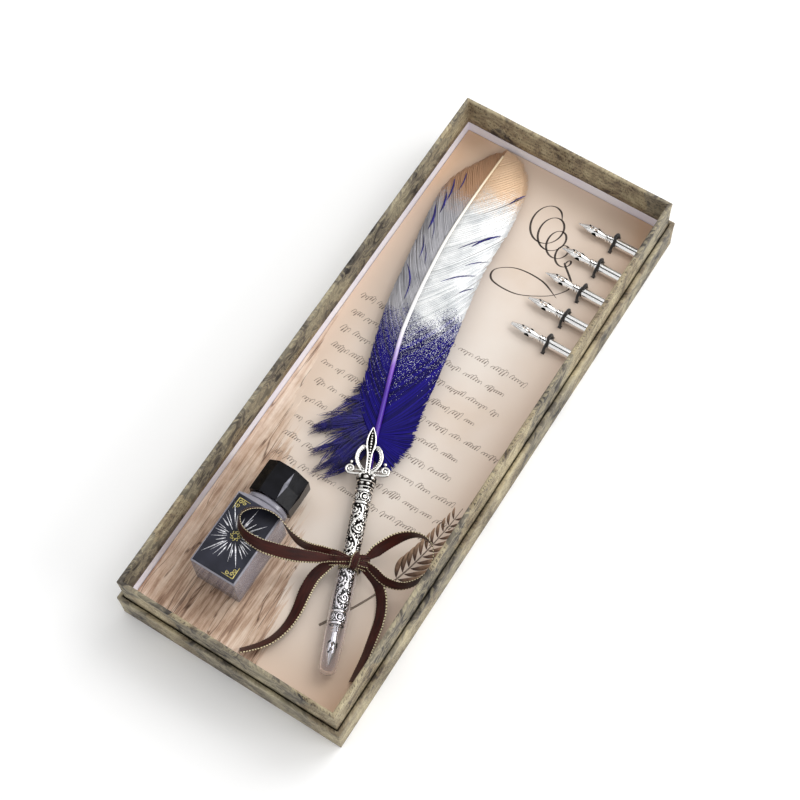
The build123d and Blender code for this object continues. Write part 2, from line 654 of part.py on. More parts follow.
# Seen from the side the feather is a long low arch: it leaves the pen, rises, and its tip comes
# down to the card. Each piece of it is its outline in plan, cut to a layer of that arch.
CALAMUS_HEIGHT = PEN_HEIGHT - CALAMUS_DROP
FEATHER_ARCH = (
    (-60, CALAMUS_HEIGHT),
    (-20.5, CALAMUS_HEIGHT + 0.7),
    (34, CALAMUS_HEIGHT + 4.2),
    (64, CALAMUS_HEIGHT + 4.6),
    (113, CALAMUS_HEIGHT + 1.6),
    (150, CARD_TOP + 1.6),
)
RACHIS_START = 60.0
rachis_foot = pen_point(RACHIS_START, 0)
RACHIS_LINE = (
    (rachis_foot.X, rachis_foot.Y),
    (-16.6, 15.1),
    (-22.2, 34.4),
    (-27.3, 63.8),
    (-30.7, 94.0),
    FEATHER_TIP,
)
LEFT_EDGE = (
    (-38.5, 139.5),
    (-47.5, 119.0),
    (-47.6, 101.0),
    (-41.3, 66.0),
    (-35.7, 36.5),
    (-27.3, 8.2),
    (-20.5, -10.0),
)
RIGHT_EDGE = (
    (-22.9, 144.8),
    (-12.0, 133.0),
    (-6.6, 108.0),
    (-4.4, 78.0),
    (1.5, 46.0),
    (9.6, 0.0),
    (13.9, -17.0),
    (11.6, -34.0),
)
VANE_FEET_ALONG = (70.0, 54.0)


def arch_layer(below, above):
    """A layer of the feather's arch, as wide as the box, from one height to another about it."""
    with BuildPart() as layer:
        with BuildSketch(Plane.YZ.offset(-TRAY_WIDTH / 2)):
            with BuildLine():
                low = Spline(*[(y, z - below) for y, z in FEATHER_ARCH])
                high = Spline(*[(y, z + above) for y, z in FEATHER_ARCH])
                Line(low @ 0, high @ 0)
                Line(low @ 1, high @ 1)
            make_face()
        extrude(amount=TRAY_WIDTH)
    return layer.part


def rachis_sides(margin):
    """The points a little outside the rachis' two sides; it is wider at the pen than at the tip."""
    count = len(RACHIS_LINE) - 1
    sides = []
    for side in (-1, 1):
        points = []
        for step, (x, y) in enumerate(RACHIS_LINE):
            width = RACHIS_BASE_WIDTH + (RACHIS_TIP_WIDTH - RACHIS_BASE_WIDTH) * step / count
            points.append((x + side * (width / 2 + margin), y))
        sides.append(points)
    return sides


left_of_rachis, right_of_rachis = rachis_sides(0)

with BuildPart() as feather_rachis:
    with BuildSketch():
        with BuildLine():
            left_line = Spline(*left_of_rachis)
            right_line = Spline(*right_of_rachis)
            Line(left_line @ 0, right_line @ 0)
            Line(left_line @ 1, right_line @ 1)
        make_face()
    extrude(amount=2 * RIM)
    add(arch_layer(VANE_THICKNESS / 2 + 0.3, VANE_THICKNESS / 2 + 0.5), mode=Mode.INTERSECT)
    # The round calamus runs down into the barrel's socket
    calamus_end = BARREL_TOP - QUILL_SOCKET_DEPTH + LYING_GAP
    with BuildSketch(pen_plane(calamus_end)):
        with Locations((0, -CALAMUS_DROP)):
            Circle(CALAMUS_RADIUS)
    extrude(amount=RACHIS_START + 2 - calamus_end)
finish(feather_rachis, "feather_rachis")


def vane(edge, rachis_side, foot_along, side_of_pen):
    """One side of the feather, from the rachis out to its edge."""
    foot = pen_point(foot_along, side_of_pen * (CALAMUS_RADIUS + 2 * VANE_GAP))
    with BuildPart() as side:
        with BuildSketch():
            with BuildLine():
                inner = Spline(*rachis_side)
                outer = Spline(inner @ 1, *edge)
                Polyline(outer @ 1, (foot.X, foot.Y), inner @ 0)
            make_face()
        extrude(amount=2 * RIM)
        add(arch_layer(VANE_THICKNESS / 2, VANE_THICKNESS / 2), mode=Mode.INTERSECT)
    return side


left_vane_side, right_vane_side = rachis_sides(VANE_GAP)
finish(vane(LEFT_EDGE, left_vane_side, VANE_FEET_ALONG[0], -1), "feather_vane_left")
finish(vane(RIGHT_EDGE, right_vane_side, VANE_FEET_ALONG[1], 1), "feather_vane_right")

# Loose downy barbs at the vane's foot, lying on the card
DOWN_TOP = CALAMUS_HEIGHT - VANE_THICKNESS / 2 - LYING_GAP
with BuildPart() as feather_down:
    with BuildSketch(Plane.XY.offset(CARD_TOP + LYING_GAP)):
        with BuildLine():
            tuft = Spline(
                (-20.5, -8.0),
                (-25.5, -20.0),
                (-26.0, -40.0),
                (-19.5, -51.5),
                (-9.5, -48.5),
                (-4.0, -37.0),
            )
            Line(tuft @ 1, tuft @ 0)
        make_face()
    extrude(amount=DOWN_TOP - CARD_TOP - LYING_GAP)
finish(feather_down, "feather_down")

# ---------------------------------------------------------------- ribbon

# One ribbon goes under the platform, up through both slits and over the barrel, and is tied in
# a bow on top
with BuildPart() as ribbon_band:
    with BuildSketch(pen_plane(-RIBBON_WIDTH / 2)):
        for radius, low, mode in (
            (BAND_OUTER_RADIUS, PLATFORM_UNDERSIDE - LYING_GAP - RIBBON_THICKNESS, Mode.ADD),
            (BAND_INNER_RADIUS, PLATFORM_UNDERSIDE - LYING_GAP, Mode.SUBTRACT),
        ):
            depth = PEN_HEIGHT - low
            Circle(radius, mode=mode)
            with Locations((0, -depth / 2)):
                Rectangle(2 * radius, depth, mode=mode)
    extrude(amount=RIBBON_WIDTH)
finish(ribbon_band, "ribbon_band")

with BuildPart() as ribbon_knot:
    knot_inner = BAND_OUTER_RADIUS + LYING_GAP
    knot_outer = knot_inner + KNOT_HEIGHT
    reach = 2 * knot_outer
    with BuildSketch(pen_plane(-KNOT_LENGTH / 2)):
        Circle(knot_outer)
        Circle(knot_inner, mode=Mode.SUBTRACT)
        with BuildLine():
            half_angle = radians(KNOT_HALF_ANGLE)
            Polyline(
                (0, 0),
                (-reach * sin(half_angle), reach * cos(half_angle)),
                (-reach, -reach),
                (reach, -reach),
                (reach * sin(half_angle), reach * cos(half_angle)),
                (0, 0),
            )
        make_face(mode=Mode.SUBTRACT)
    extrude(amount=KNOT_LENGTH)
    outer_rims = ribbon_knot.edges().filter_by(GeomType.CIRCLE).sort_by(SortBy.RADIUS)[-2:]
    fillet(outer_rims, radius=KNOT_HEIGHT * 0.35)
finish(ribbon_knot, "ribbon_knot")


def ribbon_run(name, points):
    """A loop or a tail of the bow, as a tube of straight runs joined by tangent arcs."""
    points = [Vector(*p) for p in points]
    radii = []
    for before, here, after in zip(points, points[1:], points[2:]):
        half_turn = radians((here - before).get_angle(after - here)) / 2
        shorter = min((here - before).length, (after - here).length)
        radii.append(0.45 * shorter / tan(half_turn))
    with BuildPart() as run:
        with BuildLine() as route:
            FilletPolyline(*points, radius=radii)
        path = route.wire()
        with BuildSketch(Plane(origin=points[0], z_dir=path % 0)):
            section = RegularPolygon(RIBBON_RUN_RADIUS, RIBBON_SIDES)
        sweep(path=path)
    expected = section.area * path.length
    print(f"{name}: {path.length:.1f} mm long, radii", " ".join(f"{r:.1f}" for r in radii))
    print(f"{name}: volume is {run.part.volume / expected:.4f} of its section times its length")
    finish(run, name)


ribbon_run(
    "ribbon_loop_left",
    [
        pen_point(-2.0, -8.2, 5.2),
        (4.3, -92.8, 30.5),
        (-4.4, -98.8, 39.0),
        (-14.6, -102.4, 43.0),
        (-25.1, -101.0, 43.0),
        (-30.1, -93.8, 43.0),
        (-24.7, -87.1, 43.0),
        (-14.6, -85.2, 43.0),
        (-5.4, -89.0, 38.5),
        (3.2, -88.6, 30.0),
        pen_point(1.2, -8.2, 5.2),
    ],
)
ribbon_run(
    "ribbon_loop_right",
    [
        pen_point(1.2, 8.2, 5.2),
        (31.6, -65.5, 27.0),
        (39.4, -56.0, 27.5),
        (48.2, -54.4, 27.0),
        (54.4, -61.5, 26.5),
        (55.0, -71.5, 25.5),
        (49.0, -80.0, 24.6),
        (40.2, -82.4, 24.8),
        (33.0, -80.2, 25.4),
        pen_point(-2.0, 8.2, 5.2),
    ],
)
ribbon_run(
    "ribbon_tail_left",
    [
        pen_point(-3.0, -6.8, 3.2),
        (10.6, -92.5, 21.0),
        (10.2, -102.5, 18.6),
        (12.6, -113.8, 17.5),
        (12.4, -125.0, 17.5),
        (8.0, -135.6, 17.5),
        (0.5, -142.6, 17.5),
    ],
)
ribbon_run(
    "ribbon_tail_right",
    [
        pen_point(-3.0, 6.8, 3.2),
        (34.6, -81.6, 21.6),
        (42.0, -87.0, 19.2),
        (46.8, -96.0, 17.8),
        (49.2, -107.0, 17.5),
        (51.4, -118.0, 17.5),
        (52.0, -128.0, 17.5),
    ],
)
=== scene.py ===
# %% [markdown]
# # A quill pen set in its box
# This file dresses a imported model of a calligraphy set: a long board box, a printed card, a feather
# pen tied down by a ribbon, five spare nibs and a bottle of ink. Bodies, joints and real sizes come
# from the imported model. The places told here are in its frame, in mm. Read it as a notebook.

from math import cos, pi, radians, sin, tan

import bpy
import numpy as np
from mathutils import Matrix, Vector


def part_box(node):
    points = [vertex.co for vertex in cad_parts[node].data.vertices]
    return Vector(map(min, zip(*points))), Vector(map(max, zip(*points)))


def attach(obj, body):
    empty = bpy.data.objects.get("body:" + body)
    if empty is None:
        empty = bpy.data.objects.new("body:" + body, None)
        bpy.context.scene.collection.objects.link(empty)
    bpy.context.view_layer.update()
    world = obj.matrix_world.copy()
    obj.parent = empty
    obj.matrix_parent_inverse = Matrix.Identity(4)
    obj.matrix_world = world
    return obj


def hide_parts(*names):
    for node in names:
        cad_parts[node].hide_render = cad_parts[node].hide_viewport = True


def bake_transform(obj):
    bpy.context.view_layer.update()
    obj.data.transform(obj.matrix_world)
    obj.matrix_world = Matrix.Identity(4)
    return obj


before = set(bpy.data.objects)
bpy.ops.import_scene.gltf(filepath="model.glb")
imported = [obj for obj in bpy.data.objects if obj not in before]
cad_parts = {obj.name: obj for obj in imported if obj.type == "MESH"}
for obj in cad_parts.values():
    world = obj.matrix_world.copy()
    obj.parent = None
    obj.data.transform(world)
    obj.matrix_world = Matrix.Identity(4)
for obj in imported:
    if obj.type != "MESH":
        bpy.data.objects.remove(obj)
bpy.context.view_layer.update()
MM = 0.001
TURN = 2 * pi
UP = np.array((0.0, 0.0, 1.0))

# %% [markdown]
# ## The camera
# A lens is told by the angle it sees. Here 83 mm on a 36 mm frame looks down on the box from 920 mm
# away. The place, the two angles and a small roll are enough to turn any camera, and no library
# helper is needed: three unit vectors make the rotation.

# %% Camera
CAMERA_PLACE = (0.2085, -0.28786, 0.82646)
CAMERA_AZIMUTH = radians(36.429)
CAMERA_ELEVATION = radians(66.105)
CAMERA_ROLL = radians(-4.278)
CAMERA_LENS = 83.01
FRAME_WIDTH = 36

level_right = Vector((cos(CAMERA_AZIMUTH), sin(CAMERA_AZIMUTH), 0))
level_back = Vector((sin(CAMERA_AZIMUTH), -cos(CAMERA_AZIMUTH), 0))
back = level_back * cos(CAMERA_ELEVATION) + Vector(UP) * sin(CAMERA_ELEVATION)
right = level_right * cos(CAMERA_ROLL) + back.cross(level_right) * sin(CAMERA_ROLL)
rotation = Matrix((right, back.cross(right), back)).transposed().to_4x4()

camera_data = bpy.data.cameras.new("camera")
camera_data.lens = CAMERA_LENS
camera_data.sensor_width = FRAME_WIDTH
camera_data.clip_start = 0.05
camera_data.clip_end = 20
camera = bpy.data.objects.new("camera", camera_data)
camera.matrix_world = Matrix.Translation(CAMERA_PLACE) @ rotation
bpy.context.scene.collection.objects.link(camera)
bpy.context.scene.camera = camera
print("camera looks along", [round(-v, 3) for v in back])

# %% [markdown]
# ## Helpers
# Colours are written as sRGB codes, as a designer reads them, and turned to linear light once. A
# Wire is a node's output that takes part in sums, so a shader's formula can be read in one line.
# Every new piece is a surface over two parameters: an array of points with rows and columns. One
# function turns such an array into a mesh with a UV map, and another carries a profile along a path.

# %% Colour and shader helpers
def linear(code):
    """A linear RGBA colour from an sRGB hex code: c / 12.92 up to 0.04045, then the 2.4 power."""
    parts = [int(code[i:i + 2], 16) / 255 for i in (0, 2, 4)]
    return [c / 12.92 if c <= 0.04045 else ((c + 0.055) / 1.055) ** 2.4 for c in parts] + [1.0]


def operator(operation, turned=False):
    """What + - * > < do on a wire: turned is for a wire that stands right of a number."""
    def method(wire, other):
        return calculate(operation, *((other, wire) if turned else (wire, other)))
    return method


class Wire:
    """A shader node's output. Each sum on it adds a Math node."""

    def __init__(self, socket):
        self.socket = socket
        self.tree = socket.id_data

    __add__ = operator("ADD")
    __sub__ = operator("SUBTRACT")
    __rsub__ = operator("SUBTRACT", turned=True)
    __mul__ = operator("MULTIPLY")
    __gt__ = operator("GREATER_THAN")
    __lt__ = operator("LESS_THAN")

    def __abs__(self):
        return self.math("ABSOLUTE")

    def math(self, operation, second=0.0, clamp=False):
        return calculate(operation, self, second, clamp=clamp)


def add_node(tree, kind, sockets=None, **settings):
    """Adds a shader node. A socket's value is a number, a colour code, or a wire to link."""
    made = tree.nodes.new("ShaderNode" + kind)
    for name, value in settings.items():
        setattr(made, name, value)
    for name, value in (sockets or {}).items():
        if isinstance(value, Wire):
            tree.links.new(value.socket, made.inputs[name])
        else:
            made.inputs[name].default_value = linear(value) if isinstance(value, str) else value
    return made


def calculate(operation, *numbers, clamp=False):
    """One number from others: each is a number or a wire."""
    tree = next(each.tree for each in numbers if isinstance(each, Wire))
    made = add_node(tree, "Math", dict(enumerate(numbers)), operation=operation)
    made.use_clamp = clamp
    return Wire(made.outputs[0])


def ramp(factor, *stops):
    """A colour ramp over a wire: stops are pairs of a place and an sRGB code."""
    made = add_node(factor.tree, "ValToRGB", {"Fac": factor})
    elements = made.color_ramp.elements
    while len(elements) < len(stops):
        elements.new(0.5)
    for element, (place, code) in zip(elements, stops):
        element.position = place
        element.color = linear(code)
    return Wire(made.outputs["Color"])


def mix(factor, first, second, blend="MIX"):
    """Two colours mixed by a factor. The first is a wire, the second a wire or a hex code."""
    sockets = {"Factor": factor, 6: first, 7: second}
    return Wire(add_node(first.tree, "Mix", sockets, data_type="RGBA", blend_type=blend).outputs[2])


def vector_math(operation, vector, other):
    """A vector from two: vector is a wire, other a wire or three numbers."""
    return Wire(add_node(vector.tree, "VectorMath", {0: vector, 1: other}, operation=operation).outputs[0])


def mapped(vector, **sockets):
    """A vector scaled and turned by a Mapping node."""
    return Wire(add_node(vector.tree, "Mapping", {"Vector": vector, **sockets}).outputs[0])


def parts_of(vector):
    """The three parts of a vector as wires."""
    return [Wire(part) for part in add_node(vector.tree, "SeparateXYZ", {"Vector": vector}).outputs]


def pattern(kind, output, vector, size=None, scale=None, **sockets):
    """An output of a texture: size is its spots' size in mm, or scale is how many there are a unit."""
    sockets["Scale"] = scale or 1 / (size * MM)
    return Wire(add_node(vector.tree, "Tex" + kind, {"Vector": vector, **sockets}).outputs[output])


def noise(vector, size=None, detail=2.0, **sockets):
    """Soft noise around 0.5."""
    return pattern("Noise", "Fac", vector, size, Detail=detail, **sockets)


def cell_number(vector, size):
    """A random number from 0 to 1 for each cell of a pattern of cells."""
    colour = pattern("Voronoi", "Color", vector, size)
    return Wire(add_node(vector.tree, "SeparateColor", {"Color": colour}).outputs["Red"])


class Finish:
    """A material with one Principled shader. What is the same all over is set on its own sockets."""

    def __init__(self, name, **constants):
        self.material = bpy.data.materials.new(name)
        self.material.use_nodes = True
        self.tree = self.material.node_tree
        self.shader = self.tree.nodes["Principled BSDF"]
        for socket, value in constants.items():
            value = linear(value) if isinstance(value, str) else value
            self.shader.inputs[socket.replace("_", " ")].default_value = value

    def place(self):
        """Where a point is on its object, in metres."""
        return Wire(add_node(self.tree, "TexCoord").outputs["Object"])

    def uv(self):
        """Where a point is on its surface's own two parameters."""
        return Wire(add_node(self.tree, "UVMap", uv_map="surface").outputs["UV"])

    def feed(self, **wires):
        for socket, wire in wires.items():
            self.tree.links.new(wire.socket, self.shader.inputs[socket.replace("_", " ")])

    def dent(self, height, depth_mm):
        """Dents the surface by a height, whose full range is depth_mm."""
        sockets = {"Height": height, "Strength": 1.0, "Distance": depth_mm * MM}
        self.feed(Normal=Wire(add_node(self.tree, "Bump", sockets).outputs[0]))


def mottled(name, size, detail, *stops, rough=None, dent=None, fibre=None, grain=0.5, **constants):
    """The commonest finish: noise with spots of a size in mm tints the colour. rough turns the same
    noise into roughness, dent is its depth in mm, and fibre is a finer noise's size, detail and depth."""
    finish = Finish(name, **constants)
    place = finish.place()
    spots = noise(place, size, detail, Roughness=grain)
    if stops:
        finish.feed(Base_Color=ramp(spots, *stops))
    if rough:
        finish.feed(Roughness=rough(spots))
    if dent:
        finish.dent(spots, dent)
    if fibre:
        finish.dent(noise(place, *fibre[:2]), fibre[2])
    return finish.material


# %% Mesh helpers
def mesh_from(name, points, faces, uvs):
    """An object at the origin from an array of points in metres, faces, and a UV pair a corner."""
    mesh = bpy.data.meshes.new(name)
    mesh.from_pydata(np.asarray(points).reshape(-1, 3), [], faces)
    layer = mesh.uv_layers.new(name="surface")
    layer.uv.foreach_set("vector", np.asarray(uvs, np.float32).ravel())
    mesh.shade_smooth()
    mesh.update()
    made = bpy.data.objects.new(name, mesh)
    bpy.context.scene.collection.objects.link(made)
    return made


def strands(name, points, wrap=True, ring=False, caps=True, rows_uv=None, columns_uv=None):
    """One mesh over an array of points in mm (count, rows, columns, 3): as many grids as count says.
    wrap joins a grid's last column to its first, ring its last row to its first, and caps closes its
    first and last row. UV is rows_uv along the rows and columns_uv along the columns, 0 to 1 if not
    given, and either may hold a line of values for each grid."""
    count, rows, columns, _ = points.shape
    row_spans = rows if ring else rows - 1
    spans = columns if wrap else columns - 1
    row, column = np.mgrid[0:row_spans, 0:spans]
    along = np.linspace(0, 1, row_spans + 1) if rows_uv is None else rows_uv
    around = np.linspace(0, 1, spans + 1) if columns_uv is None else columns_uv
    along = np.broadcast_to(along, (count, row_spans + 1))
    around = np.broadcast_to(around, (count, spans + 1))
    corners = ((0, 0), (0, 1), (1, 1), (1, 0))
    one = np.stack([((row + a) % rows) * columns + (column + b) % columns for a, b in corners], -1)
    starts = np.arange(count) * rows * columns
    faces = (one[None] + starts[:, None, None, None]).reshape(-1, 4).tolist()
    uvs = np.stack([np.stack([along[:, row + a], around[:, column + b]], -1) for a, b in corners], -2)
    uvs = uvs.reshape(-1, 2).tolist()
    if caps and wrap and not ring:
        for start, ends in zip(starts.tolist(), along[:, (0, -1)].tolist()):
            last = start + (rows - 1) * columns
            faces.append(list(range(start + columns - 1, start - 1, -1)))
            faces.append(list(range(last, last + columns)))
            uvs += [(ends[0], 0.5)] * columns + [(ends[1], 0.5)] * columns
    return mesh_from(name, points * MM, faces, uvs)


def surface(name, points, **options):
    """One grid of points in mm (rows, columns, 3) as a mesh, closed by caps if not told otherwise."""
    return strands(name, points[None], **options)


def circle(turns):
    """A closed round profile of radius 1, anticlockwise."""
    angle = np.linspace(0, TURN, turns, endpoint=False)
    return np.stack([np.cos(angle), np.sin(angle)], -1)


def lathe(places, radii, turns=48, relief=0.0):
    """Rows of points round the X axis: at each place a circle of its radius, with relief added."""
    radius = np.asarray(radii)[:, None] + relief
    x = np.broadcast_to(np.asarray(places)[:, None], (len(places), turns))
    return np.concatenate([x[..., None], radius[..., None] * circle(turns)], -1)


def distances(line):
    """How far each point of a line is from its first, along it."""
    return np.concatenate([[0], np.cumsum(np.linalg.norm(np.diff(line, axis=0), axis=1))])


def even(line, count):
    """The same line with count points, evenly spaced along its length."""
    reach = distances(line)
    places = np.linspace(0, reach[-1], count)
    return np.stack([np.interp(places, reach, line[:, axis]) for axis in range(line.shape[1])], -1)


def through(points, count):
    """A smooth line through given points: a Catmull-Rom spline, whose slope at a point is half
    the step between its neighbours, evaluated at evenly spaced places."""
    points = np.asarray(points, float)
    padded = np.concatenate([[2 * points[0] - points[1]], points, [2 * points[-1] - points[-2]]])
    t = np.linspace(0, 1, 24, endpoint=False)[:, None]
    pieces = []
    for a, b, c, d in zip(padded, padded[1:], padded[2:], padded[3:]):
        pieces.append(0.5 * (2 * b + (c - a) * t + (2 * a - 5 * b + 4 * c - d) * t ** 2
                             + (3 * b - a - 3 * c + d) * t ** 3))
    return even(np.concatenate(pieces + [points[-1:]]), count)


def bent(starts, controls, ends, t):
    """Quadratic Bezier curves, (1 - t)^2 start + 2 t (1 - t) control + t^2 end."""
    return (1 - t) ** 2 * starts[:, None] + 2 * t * (1 - t) * controls[:, None] + t ** 2 * ends[:, None]


def wander(count, waves, seed):
    """Smooth noise from -1 to 1 on count places: a sum of sines with seeded turns, from one wave to
    as many as waves says over the whole length, so it closes on itself."""
    random = np.random.default_rng(seed)
    place = np.linspace(0, TURN, count, endpoint=False)
    turns = random.uniform(0, TURN, waves)
    sizes = random.uniform(0.4, 1, waves)
    noise_sum = (sizes[:, None] * np.sin(np.arange(1, waves + 1)[:, None] * place + turns[:, None])).sum(0)
    return noise_sum / np.abs(noise_sum).max()


def unit(vectors):
    """Rows of vectors, each scaled to length 1."""
    return vectors / np.linalg.norm(vectors, axis=-1, keepdims=True)


def tangents(path):
    """The direction of a path at each of its points."""
    return unit(np.gradient(path, axis=0))


def level_side(path):
    """The level direction across a path, at each of its points."""
    return np.cross(UP, tangents(path))


def carry(path, across, profile, widths=1.0, heights=1.0):
    """A flat profile (columns, 2) carried along a path: point + x * side + y * normal, where side is
    across made square to the path. Each row's x is multiplied by widths and its y by heights."""
    along = tangents(path)
    side = unit(across - along * np.sum(across * along, -1, keepdims=True))
    normal = np.cross(along, side)
    x = profile[None, :, 0] * np.broadcast_to(widths, len(path))[:, None]
    y = profile[None, :, 1] * np.broadcast_to(heights, len(path))[:, None]
    return path[:, None] + x[..., None] * side[:, None] + y[..., None] * normal[:, None]


def tube(path, radii, turns=10, across=(0, 0, 1)):
    """A round tube along a path in mm, as rows of points: its radius may change from row to row."""
    return carry(path, np.asarray(across, float), circle(turns), radii, radii)


def slab(low, high):
    """A closed flat section, 1 wide and from low to high."""
    return np.array(((-0.5, low), (0.5, low), (0.5, high), (-0.5, high)))


def flat_strokes(name, lines, widths, bottom, height):
    """Ink lines on the card: each is a thin closed strip, as wide as its widths say at each row."""
    made = []
    for line, width in zip(lines, widths):
        path = np.column_stack([line, np.full(len(line), bottom)])
        made.append(carry(path, level_side(path), slab(0, height), width))
    return strands(name, np.stack(made))


def lying_at(origin, along, across, up=(0, 0, 1)):
    """A function that turns points told along, across and up into points of the box."""
    axes = np.array((along, across, up), float)
    return lambda points: np.asarray(origin) + points @ axes


def dress(made, body, material, *nodes, slot=None):
    """Gives a piece its material, lets it ride on a body and lets it stand for CAD nodes."""
    made.data.materials.append(material)
    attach(made, body)
    if nodes:
        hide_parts(*nodes)
    return made


def paint(material, *nodes):
    """Gives CAD nodes that keep their own shape a material."""
    for name in nodes:
        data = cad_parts[name].data
        data.materials.clear()
        data.materials.append(material)


# %% [markdown]
# ## Floor and light
# The set lies on a white table in soft light. A white world gives the fill, a large lamp behind and
# to the right gives the soft shadow towards the viewer, and a second, lower one edges the metal.
# One could light by lamps alone, but bright metal needs something to mirror: the world is white all
# over, with one narrow dark strip like the black card that product workers hang beside the camera,
# and with a darker skirt low down. Both are mirrored as the dark lines that make metal read as metal.

# %% Floor, lamps and world
WORLD_STRENGTH = 0.86
KEY_POWER = 6.0
SIDE_POWER = 3.4
FLOOR_HALF = 4.0

bpy.context.scene.view_settings.view_transform = "Standard"

world = bpy.data.worlds.new("studio")
world.use_nodes = True
sky_tree = world.node_tree
_, sky_y, sky_z = parts_of(Wire(add_node(sky_tree, "TexCoord").outputs["Generated"]))
card_strip = ramp(sky_y + 0.5, (0.05, "ffffff"), (0.12, "202020"), (0.2, "202020"), (0.27, "ffffff"))
sky = mix(1.0, card_strip, ramp(sky_z, (0.0, "b4b4b8"), (0.2, "ffffff")), blend="MULTIPLY")
seen = Wire(add_node(sky_tree, "LightPath").outputs["Is Camera Ray"])
background = sky_tree.nodes["Background"]
sky_tree.links.new(mix(seen, sky, "ffffff").socket, background.inputs["Color"])
background.inputs["Strength"].default_value = WORLD_STRENGTH
bpy.context.scene.world = world

# Two square lamps that look at the middle of the box: their place, their side in metres, their power
LAMPS = {
    "key_lamp": ((0.3, 0.7, 0.95), 0.7, KEY_POWER),
    "side_lamp": ((0.9, 0.1, 0.55), 0.5, SIDE_POWER),
}
for name, (place, size, power) in LAMPS.items():
    data = bpy.data.lights.new(name, "AREA")
    data.size = size
    data.energy = power
    lamp = bpy.data.objects.new(name, data)
    lamp.location = place
    lamp.rotation_mode = "QUATERNION"
    lamp.rotation_quaternion = (-Vector(place)).to_track_quat("-Z", "Y")
    bpy.context.scene.collection.objects.link(lamp)

# The table is white and matt, and it takes the shadow
sides = (-FLOOR_HALF, FLOOR_HALF)
floor_points = np.array([[(x, y, 0.0) for y in sides] for x in sides[::-1]])
floor = surface("floor", floor_points / MM, wrap=False)
floor.data.materials.append(Finish("table white matt lacquer", Base_Color="ffffff", Roughness=0.6).material)
print("lamps and table are set")

# %% [markdown]
# ## The printed wrap of the box and its lid
# A rigid gift box is grey board glued up square, then wrapped in printed paper: up the outside, over
# the rim and down the inside. The board's cut edge, two papers and the glue make the rim round and a
# little puffy, and never quite straight. The CAD wrap is a true offset. Here the same wrap is one
# surface: a profile (up, over, down, and back at one paper's thickness) carried round a rectangle
# with round corners. A bevel would round the rim too, but would leave it dead straight.

# %% Wrap shape
WALL = 1.7
PAPER = 0.2
RIM_SWELL = 0.17
RIM_ZONE = 4.0
WRAP_STEP = 3.0
WRAP_CORNER = 0.5
SUPERELLIPSE = 2.6
TRAY_SIZE = (117.0, 300.0)
LID_SIZE = (121.8, 304.8)
# How far the rim's top, the turned-in edge and the rim's sides wander, in mm
RIM_RISE, EDGE_RISE, RIM_PUFF = 0.16, 0.45, 0.09


def round_rectangle(half_x, half_y, radius, step):
    """Rows of points round rectangles with round corners, anticlockwise: quarter circles joined by
    straight lines. half_x and half_y hold one value for each column."""
    arcs = []
    for number, (sign_x, sign_y) in enumerate(((1, 1), (-1, 1), (-1, -1), (1, -1))):
        angle = (np.linspace(0, pi / 2, 6) + number * pi / 2)[:, None]
        x = sign_x * (half_x - radius) + radius * np.cos(angle)
        y = sign_y * (half_y - radius) + radius * np.sin(angle)
        arcs.append(np.stack([x, y], -1))
    joined = []
    for arc, following in zip(arcs, arcs[1:] + arcs[:1]):
        reach = np.linalg.norm(following[0, 0] - arc[-1, 0])
        share = np.linspace(0, 1, int(reach / step))[1:-1, None, None]
        joined += [arc, arc[-1] + (following[0] - arc[-1]) * share]
    return np.concatenate(joined)


def wrap_profile(bottom, top, turn_in):
    """The wrap's section as distance out from the wall's middle and height: straight up the outside,
    a superellipse |x|^2.6 + |z|^2.6 = 1 over the rim, straight down the inside, and back inside."""
    half = WALL / 2 + RIM_SWELL
    angle = np.linspace(0, pi, 15)
    power = 2 / SUPERELLIPSE
    over_x = half * np.sign(np.cos(angle)) * np.abs(np.cos(angle)) ** power
    over_z = top - half + (half + 0.1) * np.sin(angle) ** power
    rim = top - RIM_ZONE * np.array((1, 0.6, 0.35))
    up_x = WALL / 2 + RIM_SWELL * np.array((0.0, 0.0, 0.3, 0.75, 1.0))
    x = np.concatenate([up_x, over_x, -up_x[::-1]])
    edges = (bottom, (bottom + top) / 2), (top - 0.7 * turn_in, top - turn_in)
    z = np.concatenate([edges[0], rim, over_z, rim[::-1], edges[1]])
    inner_x = x - np.sign(x) * np.minimum(np.abs(x), PAPER)
    inner_z = z - PAPER * (z > top - half)
    inner_z[0] = z[0]
    return np.stack([x, z], -1), np.stack([inner_x, inner_z], -1)[::-1]


def printed_wrap(name, size, node, turn_in, seed):
    """The wrap of one tray. Its thickness, rim and lower edge wander a little on their way round."""
    bottom, top = (corner[2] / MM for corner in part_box(node))
    outer, inner = wrap_profile(bottom, top, turn_in)
    out, z = np.concatenate([outer, inner]).T
    half_x, half_y = [side / 2 - WALL / 2 + out for side in size]
    ring = round_rectangle(half_x, half_y, WRAP_CORNER, WRAP_STEP)[::-1]
    rows = len(ring)
    near_rim = np.clip((z - (top - RIM_ZONE)) / RIM_ZONE, 0, 1)
    low_inside = (out < 0) * np.clip((top - RIM_ZONE - z) / (turn_in - RIM_ZONE), 0, 1)
    height = z + RIM_RISE * wander(rows, 40, seed)[:, None] * near_rim
    height += EDGE_RISE * wander(rows, 11, seed + 1)[:, None] * low_inside
    puff = RIM_PUFF * wander(rows, 70, seed + 2)[:, None] * near_rim * np.sign(out)
    ring = ring + unit(ring.mean(1, keepdims=True)) * puff[..., None]
    rows_uv = distances(np.concatenate([ring[:, 0], ring[:1, 0]])) * MM
    down = distances(outer) * MM
    columns_uv = np.concatenate([down, down[::-1], down[:1]])
    points = np.concatenate([ring, height[..., None]], -1)
    return surface(name, points, ring=True, rows_uv=rows_uv, columns_uv=columns_uv)


